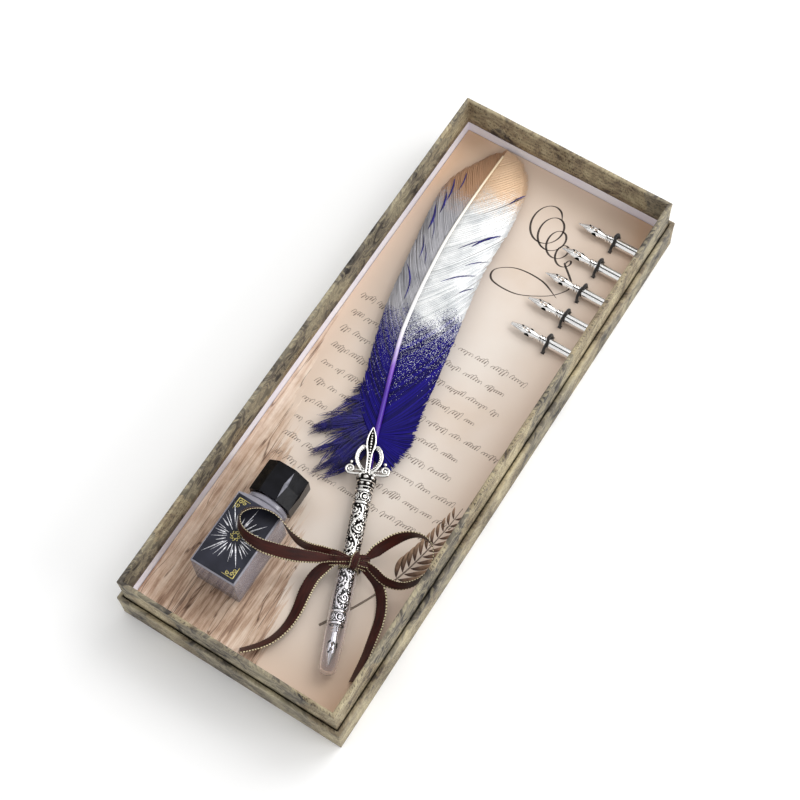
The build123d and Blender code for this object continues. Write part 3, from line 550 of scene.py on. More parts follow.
# %% [markdown]
# The print is an antique collage: dark marbled fields with pale veins, and tan fields like old
# letters, all matt and a little worn on the rim. A scanned sheet would be the usual way. Here two
# noises and a cell pattern draw it, so it has no words and never repeats: cells choose the field, a
# twisted noise makes the veins, and short dark marks in rows stand for the writing.

# %% Printed paper
FIELD_MM = 32.0
VEIN_MM = 10.0
MARK_ROW_MM = 2.9
MARK_MM = 0.9
WARP = 0.014


def printed_paper(name, greyness, flat=False):
    """Offset print on uncoated paper, matt: soft mottling at every size and no gloss. A flat sheet
    has no UV map and is printed by its place."""
    finish = Finish(name, Roughness=0.72, Specular_IOR_Level=0.25)
    sheet = finish.place() if flat else finish.uv()
    warp = pattern("Noise", "Color", sheet, 14, Detail=4.0)
    moved = vector_math("ADD", sheet, vector_math("MULTIPLY", warp, (WARP, WARP, 0)))
    veins = noise(sheet, VEIN_MM, 8.0, Roughness=0.6, Distortion=2.0)
    marbled = ramp(veins, (0.36, "211e1c"), (0.44, "49443f"), (0.49, "787061"), (0.54, "ada285"),
                   (0.585, "665f54"), (0.66, "948a74"))
    letter = ramp(veins, (0.34, "55493e"), (0.42, "8f7d62"), (0.52, "ad9e7d"), (0.68, "c9bc99"))
    row = (parts_of(sheet)[1] * (1 / (MARK_ROW_MM * MM))).math("FRACT")
    in_row = abs(row - 0.5) < 0.27
    marks = noise(mapped(sheet, Scale=(1, 0.45, 1), Rotation=(0, 0, 0.3)), MARK_MM, 3.0, Roughness=0.7)
    letter = mix(in_row * (marks > 0.535) * 0.85, letter, "33291f")
    fields = mix(cell_number(moved, FIELD_MM) > 0.5, marbled, letter)
    wash = ramp(noise(moved, 22, 6.0), (0.38, "c3b99b"), (0.5, "857d6f"), (0.6, "3a3735"))
    finish.feed(Base_Color=mix(greyness, fields, wash))
    finish.dent(noise(sheet, 0.5, 5.0) * 0.25 + noise(sheet, 9, 3.0), 0.35)
    return finish.material


tray_print = printed_paper("offset print on paper, box", 0.35)
lid_print = printed_paper("offset print on paper, lid", 0.5)
tray_wrap = printed_wrap("printed_tray_wrap", TRAY_SIZE, "tray_wrap", turn_in=19.0, seed=11)
lid_wrap = printed_wrap("printed_lid_wrap", LID_SIZE, "lid_wrap", turn_in=14.0, seed=23)
dress(tray_wrap, "tray", tray_print, "tray_wrap", slot="printed_paper")
dress(lid_wrap, "lid", lid_print, "lid_wrap", slot="printed_paper")
print("wraps:", len(tray_wrap.data.polygons), "and", len(lid_wrap.data.polygons), "faces")

# %% [markdown]
# ## White lining and grey board
# The lining is plain white offset paper, faintly lilac beside the warm print, and the board under it
# is recycled grey pulp with darker flecks. Neither needs a new mesh: the CAD sheets are flat and
# square, as the real ones are, so only their finish is added.

# %% White paper and grey board
white_paper = mottled("uncoated white lining paper", 18, 4.0, (0.3, "f0ecf8"), (0.7, "f9f7fd"),
                      fibre=(0.6, 4.0, 0.06), Roughness=0.8, Specular_IOR_Level=0.2)
paint(white_paper, "lid_lining", "tray_base_paper", "tray_lining")
paint(printed_paper("offset print on paper, lid face", 0.5, flat=True), "lid_face_paper")
grey_board = mottled("recycled grey board", 1.6, 8.0, (0.32, "6f6a63"), (0.45, "98928a"), (0.7, "aaa49b"),
                     dent=0.08, grain=0.7, Roughness=0.9, Specular_IOR_Level=0.15)
paint(grey_board, "lid_board", "tray_board", "platform")
print("papers and board are painted")

# %% [markdown]
# ## The printed card
# The insert is faced with art card, offset printed: warm beige that darkens towards the corners, a
# field of bleached wood at the lower left, rows of writing, one large flourish and a sprig. The
# writing here says nothing: each word is a run of the loops that beginners drill with a dip pen. The
# ink lines are real strips a few hundredths of a millimetre thick, so they stay sharp at any
# distance, where a texture of their own would need a very large picture.

# %% Card paper
CARD_TOP_MM = 15.0
WOOD_GRAIN_MM = 1.7

card = Finish("offset print on art card", Roughness=0.55, Specular_IOR_Level=0.3)
place = vector_math("MULTIPLY", card.place(), (1000, 1000, 1000))
card_x, card_y, _ = parts_of(place)
clouds = noise(place, scale=1 / 45, detail=5.0)
paper = ramp(clouds, (0.32, "dccbbb"), (0.5, "e2d5c9"), (0.68, "e6dcd2"))
over_x = abs(card_x * (1 / 60)).math("POWER", 3.0)
over_y = abs(card_y * (1 / 158)).math("POWER", 4.0)
edge_tone = (over_x + over_y).math("MULTIPLY", clouds + 0.25, clamp=True)
paper = mix(edge_tone, paper, "d0b093")

# The wood field: its upper edge falls from left to right, and streaks reach up from it
grain_way = vector_math("MULTIPLY", place, (1, 0.07, 1))
streaks = noise(grain_way, scale=1 / WOOD_GRAIN_MM, detail=8.0, Roughness=0.72)
broad = noise(grain_way, scale=1 / 9, detail=3.0, Distortion=0.6)
knots = noise(place, scale=1 / 16, detail=7.0, Roughness=0.65)
cracks = noise(grain_way, scale=1 / 4.2, Distortion=0.3)
edge = -35.0 - (card_x + 50.0) * 1.1 - card_x.math("MAXIMUM", 0.0) * 2.9
edge = edge + (-49.0 - card_x).math("MAXIMUM", 0.0) * 8.0
depth = edge - card_y + ((broad - 0.5) * 90.0 + (streaks - 0.5) * 60.0)
wood_here = depth.math("MULTIPLY", 1 / 4, clamp=True)
wood = ramp(streaks * 0.62 + broad * 0.38, (0.37, "8a6f5d"), (0.44, "b0927c"), (0.49, "ceb29b"),
            (0.56, "e0cab6"), (0.66, "ecddce"))
wood = mix(0.4, wood, ramp(knots, (0.42, "ffffff"), (0.62, "b39a86")), blend="MULTIPLY")
joint = ramp(cracks, (0.482, "ffffff"), (0.497, "6d5546"), (0.503, "6d5546"), (0.518, "ffffff"))
wood = mix(0.75, wood, joint, blend="MULTIPLY")
card.feed(Base_Color=mix(wood_here, paper, wood))
card.dent(noise(place, scale=2.0, detail=3.0), 0.02)
paint(card.material, "art_card")

# %% Drill writing
ROW_PITCH = 10.2
ROW_FIRST_Y = 39.0
ROW_COUNT = 10
WORD_ROWS = 76
INK_BOTTOM = CARD_TOP_MM + 0.01
INK_HEIGHT = 0.04


def drill_word(random, x, y):
    """One run of joined loops, its widths and its end place: x runs on steadily while the pen
    circles, x = x0 + reach * t - r * sin(turn * t), and y rises and falls with 1 - cos(turn * t)."""
    loops = random.integers(3, 9)
    reach = loops * random.uniform(1.15, 1.5)
    t = np.linspace(0, 1, WORD_ROWS)
    tall = np.interp(t * loops, np.arange(loops + 1), random.choice((1.0, 1.1, 1.2, 2.3), loops + 1))
    low = np.interp(t * loops, np.arange(loops + 1), random.choice((0.0, 0.0, 0.0, -1.2), loops + 1))
    turn = TURN * loops * t
    rise = (1 - np.cos(turn)) / 2
    height = 1.35 * tall * rise + low * (1 - rise)
    line = np.stack([x + reach * t - 0.42 * np.sin(turn) + 0.35 * height, y + height], -1)
    return line, 0.16 + 0.16 * (1 - rise) * np.abs(np.sin(turn / 2 + 0.8)), x + reach


random = np.random.default_rng(7)
words, word_widths = [], []
for row in range(ROW_COUNT):
    x = -52 + 10 * (row / (ROW_COUNT - 1)) + random.uniform(-1, 1)
    end = random.uniform(38, 51)
    while x < end - 6:
        line, width, x = drill_word(random, x, ROW_FIRST_Y - ROW_PITCH * row)
        words.append(line)
        word_widths.append(width)
        x += random.uniform(1.6, 3.0)

# Brown offset ink, matt and slightly uneven where the screen of dots breaks its edge
brown_ink = mottled("brown offset ink", 0.9, 3.0, (0.35, "6a5b50"), (0.65, "8f8072"), Roughness=0.6,
                    Specular_IOR_Level=0.3)
dress(flat_strokes("drill_writing", words, word_widths, INK_BOTTOM, INK_HEIGHT), "insert", brown_ink)
print("writing:", len(words), "words")

# %% [markdown]
# The flourish is one stroke of a broad pen: a coil that shrinks from left to right, then one long
# open loop back under it. A broad nib held at one angle makes a line thick in one direction and thin
# in the other, so the width follows the sine of the angle between the line and the nib's edge.

# %% Flourish and sprig
NIB_EDGE_ANGLE = 0.65
COIL_TURNS = 5
coil_turn = np.linspace(0.04, 0.93, 75)
coil_angle = 0.75 * TURN + TURN * COIL_TURNS * coil_turn ** 0.85
middle = np.stack([np.interp(coil_turn, (0, 1), ends) for ends in ((3, 29), (123, 104))], -1)
size = np.stack([np.interp(coil_turn, (0, 1), ends) for ends in ((8.5, 1.5), (11, 2.0))], -1)
coil = middle + size * np.stack([np.cos(coil_angle), np.sin(coil_angle)], -1)
tail = ((33.6, 98), (31, 91), (24, 85), (12, 79.5), (-1, 80), (-3, 86), (6, 92), (20, 92.5), (31, 88))
flourish_line = through(np.concatenate([coil, tail]), 700)
heading = np.arctan2(*tangents(flourish_line).T[::-1])
width = 0.32 + 0.75 * np.abs(np.sin(heading - NIB_EDGE_ANGLE)) ** 1.5
width *= np.interp(np.linspace(0, 1, 700), (0, 0.02, 0.97, 1), (0.3, 1, 1, 0.2))

# Dark brown ink, a full solid, so deeper and a little glossier than the writing
dark_ink = mottled("dark brown offset ink", 2, 3.0, (0.35, "2f2520"), (0.7, "4d4038"), Roughness=0.45,
                   Specular_IOR_Level=0.4)
dress(flat_strokes("flourish", [flourish_line], [width], INK_BOTTOM, INK_HEIGHT), "insert", dark_ink)

STEM = ((24, -113), (31, -101), (37.5, -88), (43, -73), (46.5, -58), (49, -41), (50, -30))
LEAF_PAIRS = 11
stem_line = through(STEM, 90)
stem = flat_strokes("sprig_stem", [stem_line], [np.linspace(1.3, 0.3, 90)], INK_BOTTOM, INK_HEIGHT)
dress(stem, "insert", brown_ink)


def leaf_line(foot, heading, length, bend):
    """The middle line of a leaf: it leaves at a heading in radians and bends by the given amount."""
    angle = heading + bend * np.linspace(0, 1, 16)
    return foot + np.cumsum(np.stack([np.cos(angle), np.sin(angle)], -1) * length / 15, 0)


leaves, leaf_widths = [], []
leaf_shape = np.sin(pi * np.linspace(0.02, 0.98, 16)) ** 0.8
for pair in range(LEAF_PAIRS):
    at = 42 + pair * 4
    along = np.arctan2(*(stem_line[at + 1] - stem_line[at - 1])[::-1])
    size = 11.5 - 0.55 * pair
    for side in (-1, 1):
        leaves.append(leaf_line(stem_line[at], along + side * 0.95, size, -side * 0.75))
        leaf_widths.append(2.3 * leaf_shape * size / 11)
sprig_leaves = flat_strokes("sprig_leaves", leaves, leaf_widths, INK_BOTTOM, INK_HEIGHT)

# Brown watercolour, printed: it pools dark at the leaf's foot and dries pale and warm at its tip
wash = Finish("printed brown watercolour", Roughness=0.6, Specular_IOR_Level=0.3)
tone = parts_of(wash.uv())[0] * 0.6 + noise(wash.place(), 2.5, 5.0) * 0.5
wash.feed(Base_Color=ramp(tone, (0.2, "3c2c25"), (0.5, "6f5544"), (0.8, "a98a6f")))
dress(sprig_leaves, "insert", wash.material)
print("flourish, sprig and", len(leaves), "leaves are on the card")

# %% [markdown]
# ## The ribbon's route
# A free cord is settled by its route. These points are the same ones that the CAD model
# sweeps its rods along. A NURBS curve of order 3 turns them into one smooth line, and the flat ribbon
# is a profile carried along that line. The ribbon turns as it goes, so each point also has a turn
# about the line, and a share of the full width, because the knot gathers it.

# %% Ribbon routes
PEN_TURN = radians(22.0)
PEN_ORIGIN = np.array((20.3, -81.0, 20.4))
PEN_ALONG = np.array((-sin(PEN_TURN), cos(PEN_TURN), 0))
PEN_ACROSS = np.array((cos(PEN_TURN), sin(PEN_TURN), 0))
RIBBON_WIDTH = 6.5
RIBBON_THICKNESS = 0.3


def pen_point(along, across, up=0.0):
    """A point in mm by its place along the pen, to the right of it and above its axis."""
    return PEN_ORIGIN + PEN_ALONG * along + PEN_ACROSS * across + UP * up


def smooth_route(name, points):
    """The line of an order 3 NURBS curve through given points, and the place of each control
    point along it as a share of its own parameter."""
    curve = bpy.data.curves.new(name, "CURVE")
    curve.dimensions = "3D"
    spline = curve.splines.new("NURBS")
    spline.points.add(len(points) - 1)
    for point, place in zip(spline.points, points):
        point.co = (*(place * MM), 1)
    spline.order_u = 3
    spline.use_endpoint_u = True
    curve.resolution_u = 14
    holder = bpy.data.objects.new(name, curve)
    mesh = bpy.data.meshes.new_from_object(holder)
    line = np.array([v.co for v in mesh.vertices])
    bpy.data.objects.remove(holder)
    spans = len(points) - 2
    places = np.clip(np.arange(len(points)) - 0.5, 0, spans) / spans
    return line / MM, places


# Each row is a point, the ribbon's turn about its own line in degrees, and its share of full width
ROUTES = {
    "ribbon_loop_left": (
        (*pen_point(-2.0, -8.2, 5.2), -10, 0.5), (4.3, -92.8, 30.5, 0, 0.8), (-4.4, -98.8, 39.0, 0, 1.0),
        (-14.6, -102.4, 43.0, -5, 1.0), (-25.1, -101.0, 43.0, -40, 1.0), (-30.1, -93.8, 43.0, -80, 1.0),
        (-24.7, -87.1, 43.0, -90, 1.0), (-14.6, -85.2, 43.0, -95, 1.0), (-5.4, -89.0, 38.5, -125, 1.0),
        (3.2, -88.6, 30.0, -140, 0.9), (*pen_point(1.2, -8.2, 5.2), -150, 0.5),
    ),
    "ribbon_loop_right": (
        (*pen_point(1.2, 8.2, 5.2), -155, 0.5), (31.6, -65.5, 27.0, -160, 0.95),
        (39.4, -56.0, 27.5, -150, 1.0), (48.2, -54.4, 27.0, -115, 1.0), (54.4, -61.5, 26.5, -90, 1.0),
        (55.0, -71.5, 25.5, -80, 1.0), (49.0, -80.0, 24.6, -60, 1.0), (40.2, -82.4, 24.8, -40, 0.9),
        (33.0, -80.2, 25.4, -35, 0.75), (*pen_point(-2.0, 8.2, 5.2), -30, 0.5),
    ),
    "ribbon_tail_left": (
        (*pen_point(-3.0, -6.8, 3.2), 10, 0.5), (10.6, -92.5, 21.0, 15, 0.9), (10.2, -102.5, 18.6, 20, 1.0),
        (12.6, -113.8, 17.5, 45, 1.0), (12.4, -125.0, 17.5, 62, 1.0), (8.0, -135.6, 17.5, 72, 0.95),
        (0.5, -142.6, 17.5, 76, 0.9),
    ),
    "ribbon_tail_right": (
        (*pen_point(-3.0, 6.8, 3.2), 20, 0.6), (34.6, -81.6, 21.6, 28, 0.9), (42.0, -87.0, 19.2, 38, 1.0),
        (46.8, -96.0, 17.8, 45, 1.0), (49.2, -107.0, 17.5, 52, 1.0), (51.4, -118.0, 17.5, 62, 1.0),
        (52.0, -128.0, 17.5, 70, 1.0),
    ),
}

# %% [markdown]
# ## The feather
# A goose feather, dyed deep blue, then sprayed silver from the tip down and gold on the tip itself.
# A vane is hundreds of barbs side by side, hooked together, that leave the shaft at a slant and
# split where the hooks let go. Each barb is a thin strand here. A solid vane with a picture of barbs
# would stay smooth along its edge, and the frayed edge and the splits are what the eye knows.

# %% Feather lines
FEATHER_ARCH = ((-60, 19.5), (-20.5, 20.2), (34, 23.7), (64, 24.1), (113, 21.1), (150, 16.6))
RACHIS_LINE = ((-2.18, -25.37), (-16.6, 15.1), (-22.2, 34.4), (-27.3, 63.8), (-30.7, 94.0), (-32.5, 146.0))
LEFT_EDGE = ((-10.5, -17), (-20.5, -10), (-27.3, 8.2), (-35.7, 36.5), (-41.3, 66), (-47.6, 101),
             (-47.5, 119), (-38.5, 139.5), (-32.8, 146.5))
RIGHT_EDGE = ((2.6, -33.5), (11.6, -34), (13.9, -17), (9.6, 0), (1.5, 46), (-4.4, 78), (-6.6, 108),
              (-12, 133), (-22.9, 144.8), (-32.2, 147))
RIGHT_SLANT, LEFT_SLANT = 36, 29
# Where the vane's edge is notched: the place on the edge and how far the barbs part there, in mm
RIGHT_NOTCHES = ((-10.0, 127.9, 0.55), (-7.9, 100.4, 0.7), (-4.0, 82.5, 0.5), (-6.2, 74.0, 0.5),
                 (-3.0, 66.9, 0.35), (10.0, 6.0, 0.6), (13.0, -10.0, 0.9))
LEFT_NOTCHES = ((-46.3, 107.7, 0.8), (-45.3, 99.5, 0.9), (-40.7, 79.0, 0.9), (-39.9, 58.5, 0.8),
                (-30.0, 20.0, 0.7), (-24.0, 2.0, 0.8))
arch_line = through(FEATHER_ARCH, 200)
shaft_line = through(RACHIS_LINE, 400)
shaft_reach = distances(shaft_line)


def arch_height(y):
    """The height of the feather's middle layer at a place along the box."""
    return np.interp(y, *arch_line.T)


def spray_place(x, y):
    """How far a point is up the spray: 0 where blue turns to silver, 1 where silver turns to gold."""
    blue_end = np.interp(x, (-36.1, -22.0, -1.0), (37.0, 34.5, 49.5))
    gold_start = np.interp(x, (-39.2, -31.5, -7.7), (107.1, 108.3, 120.2))
    return (y - blue_end) / (gold_start - blue_end)


def vane_barbs(edge, slant, notches, count, side, seed):
    """The paths of one vane's barbs (count, rows, 3) and their widths. A barb whose tip is at a
    distance w from the shaft leaves it w / tan(slant) nearer the pen."""
    random = np.random.default_rng(seed)
    tips = through(edge, count)
    apart = ((tips[:, None] - shaft_line[None]) ** 2).sum(-1)
    reach = np.sqrt(apart.min(1))
    edge_reach = distances(tips)
    base_place = shaft_reach[apart.argmin(1)] - reach / tan(radians(slant))
    base_place = np.maximum(base_place, 0.13 * edge_reach)
    bases = np.stack([np.interp(base_place, shaft_reach, shaft_line[:, axis]) for axis in (0, 1)], -1)

    # Barbs part at the notches, gather in clumps, and end unevenly, most of all near the pen
    shift = np.zeros(count)
    for x, y, gap in notches:
        gone = edge_reach - edge_reach[((tips - (x, y)) ** 2).sum(-1).argmin()]
        shift += gap * np.sign(gone + 0.01) * np.exp(-np.abs(gone) / 4.5)
    clumps = 0.35 * wander(count, 60, seed + 1) + 0.2 * wander(count, 140, seed + 2)
    tips = tips + tangents(tips) * (shift + clumps)[:, None]
    outward = unit(tips - bases)
    length = np.linalg.norm(tips - bases, axis=1)
    uneven = np.interp(edge_reach, (0, 30, 60), (2.2, 1.2, 0.35))
    trim = random.uniform(-1, 0.4, count) * uneven + 0.5 * wander(count, 45, seed + 3)
    tips = tips + outward * trim[:, None]

    sideways = np.stack([outward[:, 1], -outward[:, 0]], -1) * side
    controls = (bases + tips) / 2 + sideways * (0.10 * length)[:, None]
    t = np.linspace(0, 1, 10)[None, :]
    plan = bent(bases, controls, tips, t[..., None])
    camber = (0.9 * np.sin(pi * t) - 0.5 * t ** 2) if side > 0 else (0.3 * np.sin(pi * t) - 1.7 * t ** 1.5)
    lift = 0.05 * (np.arange(count) % 3 - 1)[:, None] + 0.16 * wander(count, 50, seed + 4)[:, None] * t
    height = arch_height(plan[..., 1]) + camber * np.clip(reach / 16, 0, 1)[:, None] + lift
    width = edge_reach[-1] / count * np.interp(t, (0, 0.85, 1), (1.5, 1.9, 0.35)) * np.ones((count, 1))
    return np.concatenate([plan, height[..., None]], -1), width


def barb_mesh(name, paths, widths, thickness, seed):
    """Barbs as one mesh: each is a flat lozenge carried along its path. UV is the spray place along
    and a number of its own across, so that neighbours differ a little in tone."""
    random = np.random.default_rng(seed)
    lozenge = np.array(((-0.5, 0), (0, -0.5), (0.5, 0), (0, 0.5)))
    made = [carry(path, level_side(path), lozenge, width, thickness) for path, width in zip(paths, widths)]
    own = np.repeat(random.uniform(0, 1, len(paths))[:, None], 5, 1)
    return strands(name, np.stack(made), rows_uv=spray_place(paths[..., 0], paths[..., 1]), columns_uv=own)


def under_vane(name, paths):
    """A thin sheet under the barbs, a little short of their tips: the down side of the vane."""
    rows = paths[::6, :9] - (0, 0, 0.55)
    return surface(name, np.concatenate([rows, rows[:, ::-1] - (0, 0, 0.12)], 1))


right_paths, right_widths = vane_barbs(RIGHT_EDGE, RIGHT_SLANT, RIGHT_NOTCHES, 470, 1, 31)
left_paths, left_widths = vane_barbs(LEFT_EDGE, LEFT_SLANT, LEFT_NOTCHES, 430, -1, 37)
right_vane = barb_mesh("right_vane_barbs", right_paths, right_widths, 0.16, 1)
left_vane = barb_mesh("left_vane_barbs", left_paths, left_widths, 0.16, 2)
right_under = under_vane("right_vane_underside", right_paths[:, :-1])
left_under = under_vane("left_vane_underside", left_paths[::-1, :-1])

# %% [markdown]
# Dye soaks in, so the blue is matt and deep and each barb takes it a little differently. The silver
# and gold are lacquer spray: fine drops that lie on top. Near the edge of the spray the drops thin
# out into speckles, so a cell pattern decides drop by drop which are there.

# %% Feather finish
DROP_MM = 0.2


def sprayed_feather(name, silver, silver_low, gold):
    """Dyed barbs with sprayed metal lacquer: dull and deep below, bright and slightly metallic above."""
    finish = Finish(name, Specular_IOR_Level=0.2)
    spray, own, _ = parts_of(finish.uv())
    place = finish.place()
    drop = cell_number(place, DROP_MM)
    drift = noise(place, 12, 3.0)
    moved = spray + (drift - 0.5) * 0.35
    cover = ramp(calculate("MULTIPLY_ADD", moved, 0.5, 0.5), (0.16, "000000"), (0.30, "363636"),
                 (0.41, "686868"), (0.47, "a8a8a8"), (0.54, "ffffff"))
    there = drop < cover
    dye = ramp(own, (0.0, "0b0443"), (0.5, "120768"), (1.0, "1a0d85"))
    metal = ramp(own * 0.25 + drift * 0.75, (0.25, silver_low), (0.6, silver))
    gilded = (moved + (drop - 0.5) * 0.22 - 0.94).math("MULTIPLY", 7.0, clamp=True)
    colour = mix(there, dye, mix(gilded, metal, gold))
    finish.feed(Base_Color=colour, Metallic=there * 0.3, Roughness=0.62 - there * 0.22)
    return finish.material


# The left vane takes darker copies of the same spray colours: painted shade, for the vane that slopes away
# from the light
right_finish = sprayed_feather("dyed and sprayed feather, bright side", "fdfefe", "c3c7ca", "e4c3a2")
left_vane_painted_shade = sprayed_feather("dyed and sprayed feather, painted shade", "b4b3b8", "909095", "b48e70")
dress(right_vane, "insert", right_finish, "feather_vane_right", slot="feather")
dress(left_vane, "insert", left_vane_painted_shade, "feather_vane_left", slot="feather")

# The underside took the dye but not the spray, so it shows as deep blue in the splits
dyed = mottled("dyed feather, deep blue", 4, 5.0, (0.3, "0c043c"), (0.7, "1d0f84"), Roughness=0.7,
               Sheen_Weight=0.1)
dress(right_under, "insert", dyed, "feather_vane_right", slot="feather")
dress(left_under, "insert", dyed, "feather_vane_left", slot="feather")

# %% Splits
# Where the hooks let go deep in a vane, a split opens like a narrow leaf and shows the blue below.
# Each is a thin closed strip just above the barbs: its outer end, its inner end, width and bow in mm
SPLIT_LIFT = 0.12
SPLITS = (
    ((-10.2, 127.6), (-14.2, 118.0), 0.6, 0.5), ((-8.2, 99.9), (-17.0, 86.5), 1.15, 0.9),
    ((-11.5, 95.0), (-22.0, 82.0), 0.35, 0.8), ((-6.4, 73.8), (-19.5, 61.5), 0.5, 1.0),
    ((-4.0, 67.2), (-8.5, 61.0), 0.45, 0.3), ((-5.5, 84.0), (-14.0, 75.5), 0.35, 0.5),
    ((-45.2, 108.5), (-41.0, 95.0), 1.0, -0.8), ((-45.9, 99.0), (-41.0, 84.0), 1.1, -1.1),
    ((-46.0, 117.5), (-42.0, 103.5), 0.8, -0.7), ((-41.3, 80.5), (-35.8, 68.0), 0.6, -0.9),
    ((-39.6, 62.5), (-29.8, 44.5), 0.7, -2.2), ((-42.6, 123.5), (-40.2, 112.0), 0.55, -0.5),
    ((-37.6, 76.0), (-31.5, 66.0), 0.35, -0.6), ((-43.0, 92.0), (-36.0, 80.0), 0.3, -0.8),
)
barb_cloud = np.concatenate([right_paths.reshape(-1, 3), left_paths.reshape(-1, 3)])
share = np.linspace(0, 1, 14)[:, None]
leaf = np.maximum(np.sin(pi * share[:, 0]) ** 0.7, 0.04)
strips = []
for outer, inner, width, bow in SPLITS:
    line = np.array(outer) + (np.array(inner) - outer) * share
    way = unit(np.array(inner) - outer)
    line = line + bow * np.sin(pi * share) * np.array((way[1], -way[0]))
    near = np.linalg.norm(line[:, None] - barb_cloud[None, :, :2], axis=-1).argsort(1)[:, :8]
    path = np.column_stack([line, barb_cloud[near, 2].max(1) + SPLIT_LIFT])
    strips.append(carry(path, level_side(path), slab(-0.1, 0.1), width * leaf))
dress(strands("vane_splits", np.stack(strips)), "insert", dyed)

# %% Shaft and down
calamus = np.array([pen_point(along, 0, -0.9) for along in (24, 34, 44, 54)])
shaft_3d = np.column_stack([shaft_line[::10], arch_height(shaft_line[::10, 1]) + 0.35])
shaft_path = through(np.concatenate([calamus, shaft_3d[1:]]), 260)
shaft_size = [np.interp(np.linspace(0, 1, 260), (0, 0.14, 0.22, 1), told)
              for told in ((1.55, 1.5, 1.2, 0.5), (1.55, 1.5, 1.0, 0.45))]
shaft = surface("feather_shaft", carry(shaft_path, np.array((1.0, 0.4, 0)), circle(14), *shaft_size),
                rows_uv=spray_place(shaft_path[:, 0], shaft_path[:, 1]))

# Horn takes the dye as a thin violet stain and the lacquer as a bright skin
horn = Finish("stained and sprayed quill horn", Roughness=0.35)
streaks = noise(vector_math("MULTIPLY", horn.place(), (1, 0.08, 1)), 0.8, 3.0)
stain = (parts_of(horn.uv())[0] + 0.6) * 0.5 + (streaks - 0.5) * 0.1
horn.feed(Base_Color=ramp(stain, (0.02, "4b229c"), (0.12, "8455c0"), (0.2, "cdc0e2"), (0.28, "f8f7f9"),
                          (0.75, "f8f4ec"), (0.92, "f3dfc0")))
horn.dent(streaks, 0.04)
dress(shaft, "insert", horn.material, "feather_rachis", slot="rachis")

# Down: soft, free barbs near the pen. They stand in tufts, and each goes from the shaft to a place on
# a spread outline, with its tuft's aim and bend and a little of its own
DOWN_COUNT = 900
TUFT_COUNT = 64
SHAFT_LEVEL = 19.6
DOWN_EDGE = ((-22.5, 4), (-24.0, -8), (-27.5, -20), (-27.5, -31), (-25.5, -42), (-20.5, -50), (-13, -50),
             (-6, -40))
random = np.random.default_rng(5)
roots_place = random.uniform(0, 1, DOWN_COUNT) ** 0.9
roots = np.stack([np.interp(roots_place, (0, 1), ends) for ends in ((-13.5, -2.6), (7, -29))], -1)
outline = through(DOWN_EDGE, 200)
tuft = (roots_place * (TUFT_COUNT - 1)).astype(int)
tuft_aim = np.clip(np.linspace(0, 1, TUFT_COUNT) + random.normal(0, 0.1, TUFT_COUNT), 0, 1)
tuft_reach = random.choice((0.55, 0.75, 0.9, 1.0, 1.12, 1.28), TUFT_COUNT)
aims = outline[(tuft_aim * 199).astype(int)][tuft]
ends = roots + (aims - roots) * (tuft_reach[tuft] * random.uniform(0.86, 1.0, DOWN_COUNT))[:, None]
ends += random.normal(0, 0.45, ends.shape)
t = np.linspace(0, 1, 9)[None, :]
bend = random.normal(0, 0.14, TUFT_COUNT)[tuft] + random.normal(0, 0.05, DOWN_COUNT)
sag = (roots + ends) / 2 + bend[:, None] * (ends - roots)[:, ::-1] * (1, -1)
plan = bent(roots, sag, ends, t[..., None])
speed = random.uniform(5, 12, DOWN_COUNT)[:, None]
start = random.uniform(0, 6, DOWN_COUNT)[:, None]
plan[..., 0] += 0.25 * np.sin(t * speed + start) * t
low = random.uniform(15.6, SHAFT_LEVEL, DOWN_COUNT)[:, None]
arch = random.uniform(-0.3, 0.9, DOWN_COUNT)[:, None] * np.sin(pi * t)
height = SHAFT_LEVEL + (low - SHAFT_LEVEL) * t ** 0.7 + arch
down_paths = np.concatenate([plan, height[..., None]], -1)
down_widths = random.uniform(0.36, 0.62, DOWN_COUNT)[:, None] * np.interp(t, (0, 0.5, 1), (1.4, 1.0, 0.15))
down = barb_mesh("feather_down_barbs", down_paths, down_widths, 0.2, 6)
dress(down, "insert", dyed, "feather_down", slot="feather")
print("feather:", sum(len(made.data.polygons) for made in (right_vane, left_vane, down)), "faces")

# %% [markdown]
# ## The pen holder
# The holder is a zinc casting, silver plated, then blackened with patina and polished again, so the
# black stays in the low parts. The ornament is relief: vines, spirals, leaves and beads. It is made
# here as real relief from distances: every point of the unrolled barrel knows how far it is from
# the nearest ornament line and rises when it is near. The same height then tells the shader where
# the polish reached. A bump map could fake the light but not the bright-on-black of worn patina.

# %% Antique silver
antique = Finish("antique silver plate, blackened and polished", Metallic=1.0)
tarnish = noise(antique.place(), 1.1, 4.0)
polish = Wire(add_node(antique.tree, "Attribute", attribute_name="relief").outputs["Fac"])
worn = polish + (tarnish - 0.5) * 0.35
antique.feed(
    Base_Color=ramp(worn, (0.22, "121111"), (0.42, "5f5c57"), (0.58, "d9d7d2"), (0.9, "f8f6f2")),
    Roughness=ramp(worn, (0.3, "a0a0a0"), (0.8, "5c5c5c")),
)
antique.dent(tarnish, 0.03)


def add_silver(made, node, values):
    """Dresses a piece in antique silver. values is each point's polish, 0 black to 1 bright."""
    layer = made.data.attributes.new("relief", "FLOAT", "POINT")
    values = np.broadcast_to(values, len(made.data.vertices)) if np.ndim(values) == 0 else np.ravel(values)
    layer.data.foreach_set("value", np.ascontiguousarray(values, dtype=np.float32))
    return dress(made, "insert", antique.material, node, slot="antique_silver")


# %% Relief of the barrel
TILE_LENGTH = 17.0
TILE_AROUND = 24.0
CELL = 0.2
BEAD_TO_LINE = 0.72
BEAD_TO_BEAD = 0.85
